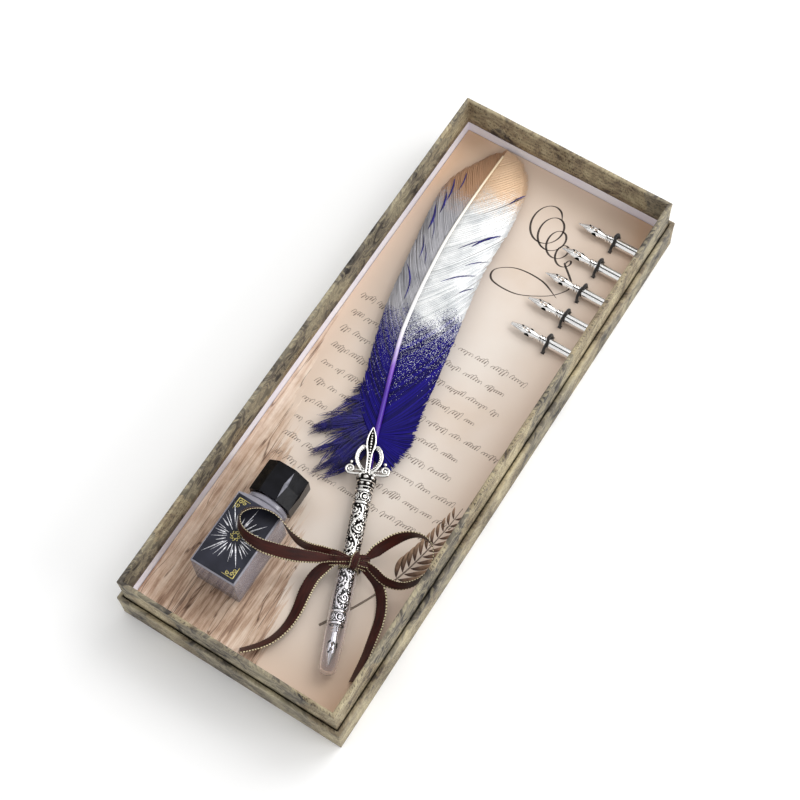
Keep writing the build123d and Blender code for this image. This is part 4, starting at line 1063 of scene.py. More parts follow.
# Spirals as along, around, start angle and turns, and leaves as along, around and angle
SPIRALS = ((4.2, 3.6, 1.2, 1.55), (12.9, 7.6, 4.2, -1.55), (4.4, 19.6, -1.2, -1.55), (12.6, 15.4, 2.2, 1.55),
           (8.6, 11.6, 0.4, 1.4), (0.2, 11.8, 3.3, -1.4), (8.4, 23.4, 2.8, 1.4), (16.6, 23.2, 0.2, -1.4))
LEAVES = ((1.6, 7.6, 0.7), (10.0, 3.8, -0.8), (6.6, 8.6, 2.3), (15.0, 4.2, 0.9), (2.0, 15.6, -0.7),
          (10.2, 19.8, 0.8), (6.4, 15.2, -2.2), (14.8, 19.4, -0.9))


def spiral(centre, start, turns, outer, inner, count=60):
    """Points of a spiral whose radius shrinks evenly from outer to inner."""
    share = np.linspace(0, 1, count)
    angle = start + TURN * turns * share
    radius = outer + (inner - outer) * share
    return np.asarray(centre) + radius[:, None] * np.stack([np.cos(angle), np.sin(angle)], -1)


def raised(grid, lines, half_width, period, soft=0.18):
    """How raised each place of a grid is, 0 to 1: 1 within half_width of a line, and down to 0 over
    the soft distance. The pattern repeats with its period."""
    points = np.concatenate(lines)
    points = np.concatenate([points + (a * period[0], b * period[1]) for a in (-1, 0, 1) for b in (-1, 0, 1)])
    points = points[((points > -1.5) & (points < np.asarray(period) + 1.5)).all(1)]
    flat = grid.reshape(-1, 2)
    nearest = np.full(len(flat), 9.0)
    for start in range(0, len(points), 100):
        distance = np.linalg.norm(flat[:, None] - points[None, start:start + 100], axis=-1).min(1)
        nearest = np.minimum(nearest, distance)
    level = np.clip((half_width + soft - nearest) / soft, 0, 1)
    return (level * level * (3 - 2 * level)).reshape(grid.shape[:2])


def tile_grid(rows, columns, length, around):
    """The place of each point of a tile, along the barrel and around it."""
    places = np.arange(rows) * length / rows, np.arange(columns) * around / columns
    return np.stack(np.meshgrid(*places, indexing="ij"), -1)


def dots(centres, radius, count=8):
    """Small rings of points that fill into round beads."""
    turns = circle(count) * radius
    return [np.asarray(centre) + turns for centre in centres] + [np.asarray(centres, float)]


def scroll_tile(rows, columns):
    """One tile of vines: two waving stems, spirals that branch off on both sides, leaves and beads."""
    grid = tile_grid(rows, columns, TILE_LENGTH, TILE_AROUND)
    run = np.linspace(0, TILE_LENGTH, 140)
    stems = [np.stack([run, c0 + 2.3 * np.sin(TURN * run / TILE_LENGTH + turn)], -1)
             for c0, turn in ((5.5, 0.0), (17.5, pi))]
    spirals = [spiral((s0, c0), start, turns * 1.05, 2.5, 0.3, 90) for s0, c0, start, turns in SPIRALS]
    run = np.linspace(-0.9, 0.9, 14)
    leaves = [np.array((s0, c0)) + np.stack([run * cos(angle), run * sin(angle)], -1)
              for s0, c0, angle in LEAVES]
    random = np.random.default_rng(17)
    drawn = np.concatenate(stems + spirals + leaves)
    kept = []
    for bead in random.uniform((0, 0), (TILE_LENGTH, TILE_AROUND), (900, 2)):
        free = np.linalg.norm(drawn - bead, axis=1).min() > BEAD_TO_LINE
        if free and all(np.hypot(*(bead - other)) > BEAD_TO_BEAD for other in kept):
            kept.append(bead)
    level = np.zeros((rows, columns))
    for lines, half_width, top in ((stems, 0.40, 1), (spirals, 0.30, 0.95), (leaves, 0.46, 0.9),
                                   (dots(kept, 0.12), 0.23, 0.85)):
        level = np.maximum(level, top * raised(grid, lines, half_width, (TILE_LENGTH, TILE_AROUND)))
    return level


def medallion_tile(rows, columns, length, around):
    """One medallion: a ring, a spiral in it, and a bead in each corner."""
    grid = tile_grid(rows, columns, length, around)
    middle = (length / 2, around / 2)
    lines = [spiral(middle, 0, 1.0, 1.9, 1.9), spiral(middle, 0.6, 1.25, 1.1, 0.1)]
    corners = dots([(x, y) for x in (0.3, length - 0.3) for y in (0.0, around)], 0.15)
    period = (length * 4, around)
    return np.maximum(raised(grid, lines, 0.17, period), 0.9 * raised(grid, corners, 0.3, period))


BARREL_FROM, BARREL_TO = -31.8, 35.5
BARREL_TURNS = 120
MEDALLIONS = 5
MEDALLION_BANDS = ((-30.35, -25.95), (28.65, 33.35))
RING_PLACES = (-31.0, -25.3, 28.0, 34.0)
SCROLL_HEIGHT, RING_HEIGHT = 0.36, 0.5
rows = int((BARREL_TO - BARREL_FROM) / CELL)
barrel_u = np.linspace(BARREL_FROM, BARREL_TO, rows)
base_radius = np.interp(barrel_u, (BARREL_FROM, BARREL_TO), (3.4, 4.0)) - 0.05
tile = scroll_tile(int(TILE_LENGTH / CELL), BARREL_TURNS)
level = tile[np.arange(rows) % len(tile)]
for low, high in MEDALLION_BANDS:
    band_rows = np.flatnonzero((barrel_u > low) & (barrel_u < high))
    medallion = medallion_tile(len(band_rows), BARREL_TURNS // MEDALLIONS, 4.6, TILE_AROUND / MEDALLIONS)
    level[band_rows] = np.tile(medallion, (1, MEDALLIONS))
rings = np.zeros((rows, 1))
for middle in RING_PLACES:
    from_ring = barrel_u[:, None] - middle
    rings = np.maximum(rings, np.clip(1 - (from_ring / 0.72) ** 2, 0, 1) ** 0.5)
    level *= np.abs(from_ring) > 0.95
radius = base_radius[:, None] + SCROLL_HEIGHT * level + RING_HEIGHT * rings

# The barrel is hollow from its nib end up to -24, and closed at its other end
all_u = np.concatenate([(-24.0, -24.0, BARREL_FROM), barrel_u, (BARREL_TO,)])
all_radius = np.pad(radius, ((3, 1), (0, 0)))
all_radius[[0, 1, 2, -1]] = np.array((0.3, 2.52, 2.53, 0.3))[:, None]
on_pen = lying_at(PEN_ORIGIN, PEN_ALONG, -PEN_ACROSS)
barrel = surface("engraved_barrel", on_pen(lathe(all_u, 0 * all_u, BARREL_TURNS, all_radius)))
add_silver(barrel, "pen_barrel", np.pad(np.maximum(level, rings), ((3, 1), (0, 0))))
print("barrel:", len(barrel.data.polygons), "faces")

# %% [markdown]
# ## The crown
# The head is cast with the collar: a ring of rounded lobes, then an open crown of bars. Each bar is
# beaded along one side. Bars are tubes along given lines, beads are small balls, and the lance
# has two rails with a row of beads in a dark groove.

# %% Collar and crown
COLLAR_TURNS = 96
CROWN_LEAN = radians(3.5)
BAR_ROWS, BAR_TURNS = 60, 12
collar_u = np.linspace(35.3, 43.2, 40)
around = np.linspace(0, TURN, COLLAR_TURNS, endpoint=False)
collar_base = np.interp(collar_u, (35.3, 36.0, 36.6, 37.8, 38.6, 39.2, 40.6, 41.6, 42.6, 43.2),
                        (4.0, 4.5, 4.0, 4.35, 4.2, 4.6, 4.9, 4.7, 3.9, 3.0))


def swell(middle, width):
    """A round swelling of the collar at a place along it, 1 at its middle."""
    return np.exp(-((collar_u - middle) / width) ** 2)[:, None]


lobes = np.abs(np.sin(4 * around)) * swell(37.6, 0.8) + np.abs(np.cos(4 * around)) * swell(40.6, 1.1)
beads_round = swell(36.0, 0.3) + swell(38.9, 0.25)
collar_radius = collar_base[:, None] + 0.55 * lobes + 0.2 * beads_round - 0.3
collar_level = np.clip(1.3 * np.maximum(lobes ** 1.5, beads_round) - 0.1, 0, 1)
closed_u = np.pad(collar_u, 1, "edge")
closed_radius = np.pad(collar_radius, ((1, 1), (0, 0)), constant_values=0.3)
collar = surface("lobed_collar", on_pen(lathe(closed_u, 0 * closed_u, COLLAR_TURNS, closed_radius)))
add_silver(collar, "pen_crown", np.pad(collar_level, ((1, 1), (0, 0))))

crown_along = np.array((-sin(PEN_TURN + CROWN_LEAN), cos(PEN_TURN + CROWN_LEAN), 0))
on_crown = lying_at(PEN_ORIGIN + PEN_ALONG * 42.5 + UP * 1.0, crown_along, np.cross(UP, crown_along))


def flat_line(line, up):
    """Plan points (u, v) as points (u, v, up)."""
    return np.column_stack([np.asarray(line, float), np.full(len(line), up)])


def crown_tube(line, radii, up):
    """A bar of the crown: a tube along a smooth line through plan points."""
    share = np.linspace(0, 1, BAR_ROWS)
    radii = np.interp(share, np.linspace(0, 1, len(radii)), radii)
    return tube(through(flat_line(line, up), BAR_ROWS), radii, BAR_TURNS)


def ball_rows(centres, radii, rows=7, turns=8):
    """Small balls as closed grids (count, rows, turns, 3): each row is a circle of its ball."""
    tilt = np.linspace(0.12, pi - 0.12, rows)[:, None]
    ring = circle(turns)
    facing = -np.cos(tilt)
    shape = np.stack([np.sin(tilt) * ring[:, 0], np.sin(tilt) * ring[:, 1], facing + 0 * ring[:, 0]], -1)
    return np.asarray(centres)[:, None, None] + shape * np.asarray(radii)[:, None, None, None], facing


LANCE = ((0, 0.75), (5, 0.8), (10, 1.0), (13.5, 1.7), (16.3, 2.05), (19.5, 1.65), (22.3, 0.7), (24, 0.05))
ARCH = np.array(((0, 1.0), (3.2, 4.3), (7.25, 6.2), (11.2, 5.7), (14.0, 3.9), (13.7, 2.3), (12.2, 1.5)))
INNER_ARCH = ((1.6, 1.3), (4.0, 3.6), (7.25, 5.0), (10.6, 4.65), (12.6, 3.2))
SCROLL = ((0.6, 1.2), (0.0, 4.0), (-0.15, 6.6))
RAIL = ((1.5, 2.0), (1.7, 4.2), (1.8, 6.0))
bars, beads = [], []
for side in (1, -1):
    half = np.array((1, side))
    curl = spiral((2.2, side * 8.2), pi, -side * 1.35, 2.3, 0.7, 30)
    bars += [
        crown_tube(LANCE * half, (0.5, 0.5, 0.55, 0.3), 1.5),
        crown_tube(ARCH * half, (0.4, 0.5, 0.55, 0.6, 0.5, 0.4), 1.6),
        crown_tube((ARCH - (0.15, 0)) * (1, 0.9) * half, (0.8, 0.9, 1.0, 1.05, 0.9, 0.6), 0.9),
        crown_tube(np.concatenate([SCROLL * half, curl[1:]]), (0.5, 0.6, 0.6, 0.55, 0.5, 0.4), 1.5),
    ]
    beads += [(*bead, 0.46) for bead in through(flat_line(INNER_ARCH * half, 1.75), 14)]
    beads += [(*bead, 0.4) for bead in through(flat_line(RAIL * half, 1.6), 6)]
    beads += [(2.4, side * 8.2, 1.5, 0.75), (5.6, side * 8.0, 1.3, 0.95)]
for u in np.arange(1.2, 21.5, 1.4):
    beads.append((u, 0, 1.65, np.interp(u, (1, 12, 16, 21.5), (0.42, 0.5, 0.68, 0.42))))
beads += [(-0.6, v, 1.9, 1.05) for v in (-3.3, -1.1, 1.1, 3.3)]
beads = np.array(beads)
balls, facing = ball_rows(beads[:, :3], beads[:, 3])
bars = np.stack(bars)
bar_tone = np.broadcast_to(np.clip(0.14 + 0.86 * circle(BAR_TURNS)[:, 0], 0, 1), bars.shape[:3])
bead_tone = np.broadcast_to(np.clip(0.25 + 0.9 * facing, 0, 1), balls.shape[:3])
add_silver(strands("crown_bars", on_crown(bars)), "pen_crown", bar_tone)
add_silver(strands("crown_beads", on_crown(balls)), "pen_crown", bead_tone)

# The dark ground under the lance, and a rounded root under the beads at the crown's foot
lance_u, root_share = np.linspace(0, 23.6, 40), np.linspace(-0.98, 0.98, 40)
grounds = (
    (lance_u, np.interp(lance_u, *zip(*LANCE))),
    (np.linspace(-2.6, 2.6, 40), 3.2 * np.sqrt(np.clip(1 - root_share ** 4, 0, 1))),
)
section = np.array(((1, 0.5), (-1, 0.5), (-1, 1.3), (1, 1.3)))
ground = np.stack([np.stack([u[:, None] + 0 * section[:, 0], -half[:, None] * section[:, 0],
                             0 * u[:, None] + section[:, 1]], -1) for u, half in grounds])
add_silver(strands("crown_ground", on_crown(ground)), "pen_crown", 0.0)

# %% [markdown]
# ## The nib guard
# A soft vinyl tube slips over the nib and up the barrel. It is clear but not polished: it scatters a
# little, and its closed end is thicker and milky. It has real thickness, so the wall bends light at
# its edges by itself and shows two bright lines lengthwise.

# %% Guard
GUARD_OUTSIDE = ((-54.7, 0.3), (-54.7, 1.4), (-54.4, 2.4), (-53.7, 3.3), (-52.6, 3.9), (-51.0, 4.1),
                 (-44, 4.4), (-36, 4.68), (-24, 4.72), (-12, 4.72), (-5.8, 4.72), (-5.5, 4.6))
GUARD_INSIDE = ((-5.5, 4.4), (-5.8, 4.3), (-12, 4.3), (-24, 4.3), (-36, 4.15), (-44, 3.75), (-50.5, 3.4),
                (-52.3, 2.9), (-53.2, 1.8), (-53.4, 0.3))
guard = surface("vinyl_guard", on_pen(lathe(*zip(*(GUARD_OUTSIDE + GUARD_INSIDE)), 64)))
vinyl = mottled("clear soft vinyl", 3, 3.0, rough=lambda haze: haze * 0.16, dent=0.05,
                Transmission_Weight=1.0, IOR=1.4, Base_Color="fbfaff")
dress(guard, "guard", vinyl, "nib_guard", slot="clear_guard")
print("pen: barrel, crown and guard are in place")

# %% [markdown]
# ## Nibs
# A dip nib is blanked from thin spring steel, pierced at its vent, pressed round, slit, hardened and
# nickel plated. So it is a sheet, and it is built here as one: a grid over its length and its angle
# round the axis, open along the slit and the pierced vent, then given its thickness. The beaded
# collar and the rolled tube behind it are turned shapes. A solid cut by a Boolean would give the
# same outline, but the sheet gives the thin pressed edges that catch the light.

# %% Nib shapes
NIB_OUTLINE = ((0, 0.0), (1.2, 0.45), (4.2, 1.75), (5.4, 2.28), (6.2, 2.42), (10.4, 2.42), (12.6, 2.05),
               (14.2, 1.72), (15.9, 1.7))
NIB_OPENING = ((0, 0.05), (6.3, 0.07), (6.9, 0.8), (7.25, 0.85), (7.6, 0.12), (8.4, 0.14), (8.9, 0.5),
               (9.6, 0.62), (10.3, 0.45), (10.7, 0.0))
NIB_THICKNESS = 0.3
SHANK_END = 35.7
SHANK_PROFILE = (
    (15.2, 0.3), (15.25, 1.55), (15.6, 1.6), (15.75, 1.95), (16.1, 2.28), (16.5, 2.3), (16.85, 2.0),
    (17.0, 1.7), (17.25, 1.7), (17.4, 2.0), (17.7, 2.28), (18.1, 2.3), (18.45, 2.0), (18.55, 1.8),
    (18.7, 1.8), (18.75, 2.3), (18.95, 2.5), (19.3, 2.5), (22, 2.5), (27, 2.5), (32, 2.5), (35.3, 2.5),
    (SHANK_END, 2.42), (SHANK_END, 2.15), (35.4, 2.1), (30, 2.1), (29.9, 0.3),
)
SHANK_TURNS = 80
SEAM_ANGLE = 1.85


def nib_sheet(name, tip_radius, place):
    """The pressed blade. A point is (u, R sin a, R cos a) with R the outline at u and a the angle
    from the top; the slit and the vent open it by their half width at u."""
    rows, half = 72, 9
    u = np.linspace(0, NIB_OUTLINE[-1][0], rows)
    u = u + 0.25 * np.sin(u)
    radius = np.interp(u, *zip(*NIB_OUTLINE)) + tip_radius * (1 - np.interp(u, (0, 5.4), (0, 1))) ** 1.2
    spread = np.interp(u, (0, 5, 9, 15.9), (1.05, 1.15, 1.4, 1.55))
    opening = np.maximum(np.interp(u, *zip(*NIB_OPENING)), 0.004)
    inner = np.arcsin(np.clip(opening / radius, 0, 0.6))
    side = inner[:, None] + (spread - inner)[:, None] * np.linspace(0, 1, half)
    angle = np.concatenate([-side[:, ::-1], side], 1)
    bulge = 1 + 0.05 * np.exp(-((u - 8.6) / 2.0) ** 2)[:, None] * np.cos(angle * 2)
    height = radius[:, None] * bulge * np.cos(angle) - 0.25 * np.interp(u, (0, 3), (1, 0))[:, None]
    points = np.stack([u[:, None] + 0 * angle, -radius[:, None] * np.sin(angle), height], -1)
    columns = 2 * half
    faces, uvs = [], []
    for row in range(rows - 1):
        for column in range(columns - 1):
            if column == half - 1 and opening[row:row + 2].max() > 0.01:
                continue
            first = row * columns + column
            faces.append((first, first + 1, first + columns + 1, first + columns))
            for a, b in ((0, 0), (0, 1), (1, 1), (1, 0)):
                uvs.append((points[row + a, column + b, 0] / 16, points[row + a, column + b, 1] / 5 + 0.5))
    made = mesh_from(name, place(points) * MM, faces, uvs)
    skin = made.modifiers.new("metal thickness", "SOLIDIFY")
    skin.thickness = NIB_THICKNESS * MM
    skin.offset = -1
    return made


def nib_tube(name, place):
    """The collar's two beads and the rolled tube: one turned shape, hollow at its end. The seam of
    the tube is a groove along its upper side."""
    around = np.linspace(0, TURN, SHANK_TURNS, endpoint=False)
    seam = np.exp(-((around - SEAM_ANGLE) / 0.1) ** 2)
    on_tube = np.array([19 < u < 35.5 and r > 2.4 for u, r in SHANK_PROFILE])
    points = lathe(*zip(*SHANK_PROFILE), SHANK_TURNS, -0.4 * on_tube[:, None] * seam)
    return surface(name, place(points))


def nickel_plate(name, stamped):
    """Nickel: nearly a mirror, with a faint long grain. A blade is stamped and the hollows keep black
    oxide, in curled marks between its shoulders. On a rolled tube a black line along the seam groove
    is a painted reflection of the dark band that a bright round tube mirrors."""
    finish = Finish(name, Metallic=1.0)
    uv = finish.uv()
    along, around, _ = parts_of(uv)
    grain = noise(mapped(uv, Scale=(3, 14, 1)), scale=2.0)
    if stamped:
        curls = noise(mapped(uv, Scale=(3.2, 1.5, 1)), scale=1.7, detail=0.0, Distortion=0.9)
        black = (abs(along - 0.6) < 0.27) * (curls > 0.6)
    else:
        # Painted reflection: a black line along the tube's seam, for the dark band it mirrors
        black = abs(around - SEAM_ANGLE / TURN) < 0.017
    bright = ramp(grain, (0.3, "f3f2f0"), (0.7, "fdfcfb"))
    finish.feed(Base_Color=mix(black, bright, "151413"), Roughness=grain * 0.08 + (0.2 if stamped else 0.12))
    return finish.material


nickel = nickel_plate("bright nickel plate on rolled steel tube", False)
stamped_nickel = nickel_plate("bright nickel plate on stamped spring steel", True)


def add_nib(blade, shank, body, nodes, tip_radius, place):
    """A nib in its place: the pressed blade and the rolled tube that it is plugged into."""
    dress(nib_sheet(blade, tip_radius, place), body, stamped_nickel, nodes[0], slot="nib_metal")
    dress(nib_tube(shank, place), body, nickel, nodes[1], slot="nib_metal")


TIP_RADII = (0.30, 0.40, 0.35, 0.75, 1.05)
NIB_X, NIB_FIRST_Y, NIB_Z = 20.0, 128.7, 17.8
NIB_PITCH = 16.25
PEN_NIB_PLACE = -50.5
PEN_TIP_RADIUS = 0.35
NIB_PLACES = [NIB_FIRST_Y - NIB_PITCH * number for number in range(len(TIP_RADII))]
for number, (nib_y, tip) in enumerate(zip(NIB_PLACES, TIP_RADII), start=1):
    add_nib(f"pressed_nib_{number}", f"rolled_shank_{number}", f"spare_nib_{number}",
            (f"nib_blade_{number}", f"nib_shank_{number}"), tip,
            lying_at((NIB_X, nib_y, NIB_Z), (1, 0, 0), (0, 1, 0)))
add_nib("pressed_pen_nib", "rolled_pen_shank", "insert", ("pen_nib_blade", "pen_nib_shank"),
        PEN_TIP_RADIUS, lying_at(pen_point(PEN_NIB_PLACE, 0), PEN_ALONG, -PEN_ACROSS))

# %% [markdown]
# Each spare nib is held by a loop of round black elastic, up through one hole in the card and down
# through the other, knotted below. It is a braid over rubber, so it has fine slanting ribs, and it
# sags and leans a little, no two alike.

# %% Elastics
ELASTIC_X = 40.4
ELASTIC_HALF = 4.5
ELASTIC_R = 0.75
ELASTIC_LENGTH = 40
elastic = Finish("braided black elastic", Roughness=0.7, Sheen_Weight=0.3)
along, around, _ = parts_of(elastic.uv())
ribs = abs(((along * 70.0 + around * 3.0) * pi).math("SINE"))
elastic.feed(Base_Color=ramp(ribs, (0.0, "070504"), (1.0, "1c1513")))
elastic.dent(ribs, 0.12)

random = np.random.default_rng(3)
angle = np.linspace(pi, 0, 15)
arch = np.stack([0 * angle, ELASTIC_HALF * np.cos(angle), 16.75 + ELASTIC_HALF * np.sin(angle) ** 0.85], -1)
leg = np.array([(0, -ELASTIC_HALF, z) for z in (8.2, 10.2, 11.8, 13.4, 15.2)])
from_end = np.minimum(np.linspace(0, 1, 90), 1 - np.linspace(0, 1, 90)) * ELASTIC_LENGTH
radii = np.interp(from_end, (0, 0.5, 1.5, 2.5, 3.2), (0.3, 1.2, 1.5, 1.2, ELASTIC_R))
for number, nib_y in enumerate(NIB_PLACES, start=1):
    path = np.concatenate([leg, arch, leg[::-1] * (1, -1, 1)]) + (ELASTIC_X, nib_y, 0)
    lean = random.uniform(-0.5, 0.5)
    path[:, 0] += lean * np.clip(path[:, 2] - 15.0, 0, None) / 6 * np.sign(path[:, 1] - nib_y)
    loop = surface(f"braided_elastic_{number}", tube(through(path, 90), radii, 12, (1, 0, 0)))
    dress(loop, "insert", elastic.material, f"elastic_loop_{number}", slot="elastic")
print("nibs and elastics are in place")

# %% [markdown]
# ## The ink bottle
# A square moulded bottle with a thick base, a beaded neck ring and an eight-sided cap. The CAD
# shapes are right as they are, so this cell is about finish: soda-lime glass with the faint waves of
# a mould, pale ink that turns the walls lilac grey, and a gloss black cap. The label is dark printed
# foil. Its silver rays and gold corners are hot stamped, so they are thin bright strips on top.

# %% Glass, ink, cap and liner
glass = mottled("moulded soda-lime glass", 5, 2.0, rough=lambda waves: waves * 0.06, dent=0.25,
                Transmission_Weight=0.66, IOR=1.5, Base_Color="d8d6e3")
ink = mottled("diluted violet-grey ink", 6, 5.0, (0.3, "8d8898"), (0.7, "c3bfcb"), Roughness=0.15, IOR=1.33,
              Transmission_Weight=0.35)
cap_gloss = mottled("injection moulded gloss black plastic", 8, 3.0, (0.35, "08080a"), (0.65, "15151a"),
                    rough=lambda flow: flow * 0.12 + 0.08, dent=0.06, Specular_IOR_Level=0.14)
foam = Finish("white liner foam", Roughness=0.95)
pores = pattern("Voronoi", "Distance", foam.place(), 0.4)
foam.feed(Base_Color=ramp(pores, (0.0, "d5d3cf"), (0.6, "f2f1ee")))
foam.dent(pores, 0.1)

# Dark slate ink over foil: it is nearly black and slightly cloudy, and it keeps a satin shine
label = mottled("slate printed foil label", 9, 5.0, (0.3, "191a22"), (0.7, "31323e"), fibre=(0.5, 3.0, 0.02),
                Roughness=0.35, Metallic=0.1, Specular_IOR_Level=0.25)
paint(glass, "bottle_glass")
paint(ink, "bottle_ink")
paint(cap_gloss, "bottle_cap")
paint(foam.material, "cap_liner")
paint(label, "bottle_label")

# %% [markdown]
# The stamping is drawn as strokes: long thin wedges that burst from an open middle, a small rosette
# there, and a curled corner at two opposite corners. All of it is plain ornament.

# %% Label stamping
LABEL_TOP = 39.55
LABEL_MIDDLE = np.array((-25.0, -103.95))
BURST_MIDDLE = LABEL_MIDDLE + (-0.8, 0.5)
RAY_REACH_X, RAY_REACH_Y = 9.8, 17.5
CORNER_X, CORNER_Y = 9.6, 17.0
RAY_COUNT = 34
PETAL_COUNT = 8


def foil(name, dull, bright, metallic):
    """Hot-stamped foil: bright, a little worn in spots."""
    return mottled(name, 0.7, 4.0, (0.35, dull), (0.6, bright), rough=lambda wear: wear * 0.3 + 0.2,
                   Metallic=metallic)


random = np.random.default_rng(29)
wedge = np.interp(np.linspace(0, 1, 8), (0, 0.25, 1), (0.1, 1, 0.12))
rays, ray_widths = [], []
for number in range(RAY_COUNT):
    heading = TURN * (number + random.uniform(-0.35, 0.35)) / RAY_COUNT
    way = np.array((cos(heading), sin(heading)))
    start, reach = random.uniform(3.0, 6.0), random.choice((4.5, 6.5, 9.0, 12.0))
    limit = min(RAY_REACH_X / max(abs(way[0]), 0.05), RAY_REACH_Y / max(abs(way[1]), 0.05))
    rays.append(BURST_MIDDLE + np.linspace(start, min(start + reach, limit), 8)[:, None] * way)
    ray_widths.append(random.uniform(0.35, 0.85) * wedge)
burst = flat_strokes("stamped_rays", rays, ray_widths, LABEL_TOP + 0.01, 0.03)
dress(burst, "ink_bottle", foil("hot-stamped silver foil", "9c9ca6", "f0f0f4", 0.75))

gold_lines, gold_widths = [], []
for x_way, y_way in ((-1, 1), (1, -1)):
    corner = LABEL_MIDDLE + (x_way * CORNER_X, y_way * CORNER_Y)
    inward = np.array((-x_way, -y_way))
    for way in ((1, 0), (0, 1)):
        end = corner + inward * np.array(way) * 6.0
        gold_lines.append(through((corner, (corner + end) / 2, end), 24))
        gold_widths.append(np.linspace(0.5, 0.15, 24))
    for turned, centre in ((0.0, (1.6, 1.6)), (2.2, (3.6, 1.3)), (4.0, (1.3, 3.6))):
        gold_lines.append(spiral(corner + inward * np.array(centre), turned, 1.2, 1.0, 0.2, 24))
        gold_widths.append(np.full(24, 0.32))
for petal in range(PETAL_COUNT):
    heading = TURN * petal / PETAL_COUNT
    centre = BURST_MIDDLE + 1.7 * np.array((cos(heading), sin(heading)))
    gold_lines.append(spiral(centre, heading, 0.9, 0.75, 0.35, 24))
    gold_widths.append(np.full(24, 0.24))
ornaments = flat_strokes("stamped_ornaments", gold_lines, gold_widths, LABEL_TOP + 0.01, 0.04)
dress(ornaments, "ink_bottle", foil("hot-stamped gold foil", "a99a4e", "e3d68a", 0.8))

# %% Cap facet with a painted reflection
# The cap's edge is cut to a narrow lozenge, polished more than the rest. Its grey colour is a
# painted reflection, so it shows lighter than the black cap
FACET_ANGLE = radians(22.5)
FACET_OUT = 12.02
facet_out = np.array((sin(FACET_ANGLE), 0, cos(FACET_ANGLE)))
facet_across = np.array((cos(FACET_ANGLE), 0, -sin(FACET_ANGLE)))
facet_y = np.linspace(-77.6, -63.6, 15)[:, None] * (0, 1, 0)
facet_line = np.array((-25.0, 0, 27.2)) + FACET_OUT * facet_out + facet_y
facet_width = 2.0 * (1 - np.abs(np.linspace(-1, 1, 15))) + 0.06
facet = surface("cap_facet_painted_reflection", carry(facet_line, facet_across, slab(-0.12, 0.0), facet_width))
# Painted reflection: grey colours on black plastic, for what the facet mirrors
facet_painted_reflection = mottled("black plastic facet, painted reflection", 3, 2.0, (0.3, "5d5d66"), (0.7, "9a9aa6"),
                      Specular_IOR_Level=0.8)
dress(facet, "cap", facet_painted_reflection)
print("bottle finish and label stamping are in place")

# %% [markdown]
# ## The ribbon
# The real ribbon is polyester satin 6.5 mm wide, woven with a gilt thread along each edge. A satin's
# long floats run along it and give a broad, directional sheen. The gilt thread shows as dashes where
# it dives under the weave. Weave and thread follow the ribbon's own UV map, so they turn with it.

# %% Ribbon material
SATIN_RIB_MM = 0.45
GILT_DASH_MM = 1.3
GILT_SHARE = 0.095


def satin_material(length_mm):
    """Satin with gilt edges on a ribbon of a known length, so the dashes keep their real size."""
    finish = Finish(f"polyester satin with gilt edges {length_mm:.0f} mm", Sheen_Weight=0.03,
                    Specular_IOR_Level=0.28, Anisotropic=0.4)
    uv = finish.uv()
    along, across, _ = parts_of(uv)
    at_edge = abs((across * 2).math("FRACT") - 0.5) > 0.5 - GILT_SHARE
    phase = along * (length_mm / GILT_DASH_MM) + noise(uv, scale=length_mm * 0.4)
    gilt = at_edge * (phase.math("FRACT") > 0.42)
    rib = (along * (TURN * length_mm / SATIN_RIB_MM)).math("SINE")
    satin = ramp(noise(uv, scale=9.0), (0.3, "270b07"), (0.7, "43160e"))
    finish.feed(Base_Color=mix(gilt, satin, "f2e6bd"), Metallic=gilt * 0.5, Roughness=0.42 - gilt * 0.12)
    finish.dent(rib + gilt * 3.0, 0.03)
    return finish.material


# %% Ribbon meshes
FACING = np.array((0.24, -0.33, 0.91))
CARD_CLEARANCE = 0.08


def ribbon_profile(width, thickness, columns=13):
    """A closed flat section, a little crowned: the lower side out, the upper side back."""
    x = np.linspace(-0.5, 0.5, columns)
    crown = 0.1 * (1 - (2 * x) ** 2)
    bottom = np.stack([x * width, crown - thickness / 2], -1)
    top = np.stack([x * width, crown + thickness / 2], -1)[::-1]
    return np.concatenate([bottom, top])


def flat_ribbon(name, route):
    """A ribbon along a route, turned and gathered as its points say. Its face looks along FACING made
    square to the line, and is then turned about the line: cos t * face + sin t * (line x face)."""
    route = np.array(route)
    line, places = smooth_route(name + "_route", route[:, :3])
    line = even(line, len(line))
    steps = np.linspace(0, 1, len(line))
    turn = np.radians(np.interp(steps, places, route[:, 3]))[:, None]
    widths = np.interp(steps, places, route[:, 4])
    along = tangents(line)
    face = unit(FACING - along * (along @ FACING)[:, None])
    face = np.cos(turn) * face + np.sin(turn) * np.cross(along, face)
    points = carry(line, np.cross(face, along), ribbon_profile(RIBBON_WIDTH, RIBBON_THICKNESS), widths)
    points[..., 2] += np.clip(CARD_TOP_MM + CARD_CLEARANCE - points[..., 2].min(1), 0, None)[:, None]
    return surface(name, points), line, distances(line)[-1]


for node, route in ROUTES.items():
    ribbon, line, length = flat_ribbon(node.replace("ribbon", "satin"), route)
    if node == "ribbon_loop_left":
        # This loop lies over the bottle. It keeps its place in the box and rides on no body
        ribbon.data.materials.append(satin_material(length))
        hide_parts(node)
        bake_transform(ribbon)
    else:
        dress(ribbon, "insert", satin_material(length), node)
    line[0] * MM
    length * MM
    "object" if "loop" in node else "bare"
    line * MM
    print(node, f"{length:.1f} mm, lowest {line[:, 2].min():.1f}")

# %% [markdown]
# ## The knot
# Where the ribbon is tied it is squeezed to half of its width, so it folds into lengthwise pleats.
# Four pleated strands make the knot: one slants over the other three. A strap of the same ribbon
# goes round the holder and down through two slits in the card. A round lump would hide the joints
# too, but pleats are what tell the eye that a ribbon goes in.

# %% Strap and knot
STRAND_ROWS = 40
FOLDS = 3
STRAP_HALF, STRAP_RISE = 4.48, 4.35
STRAP_U = -2.0
STRAP_WIDTH = 5.6


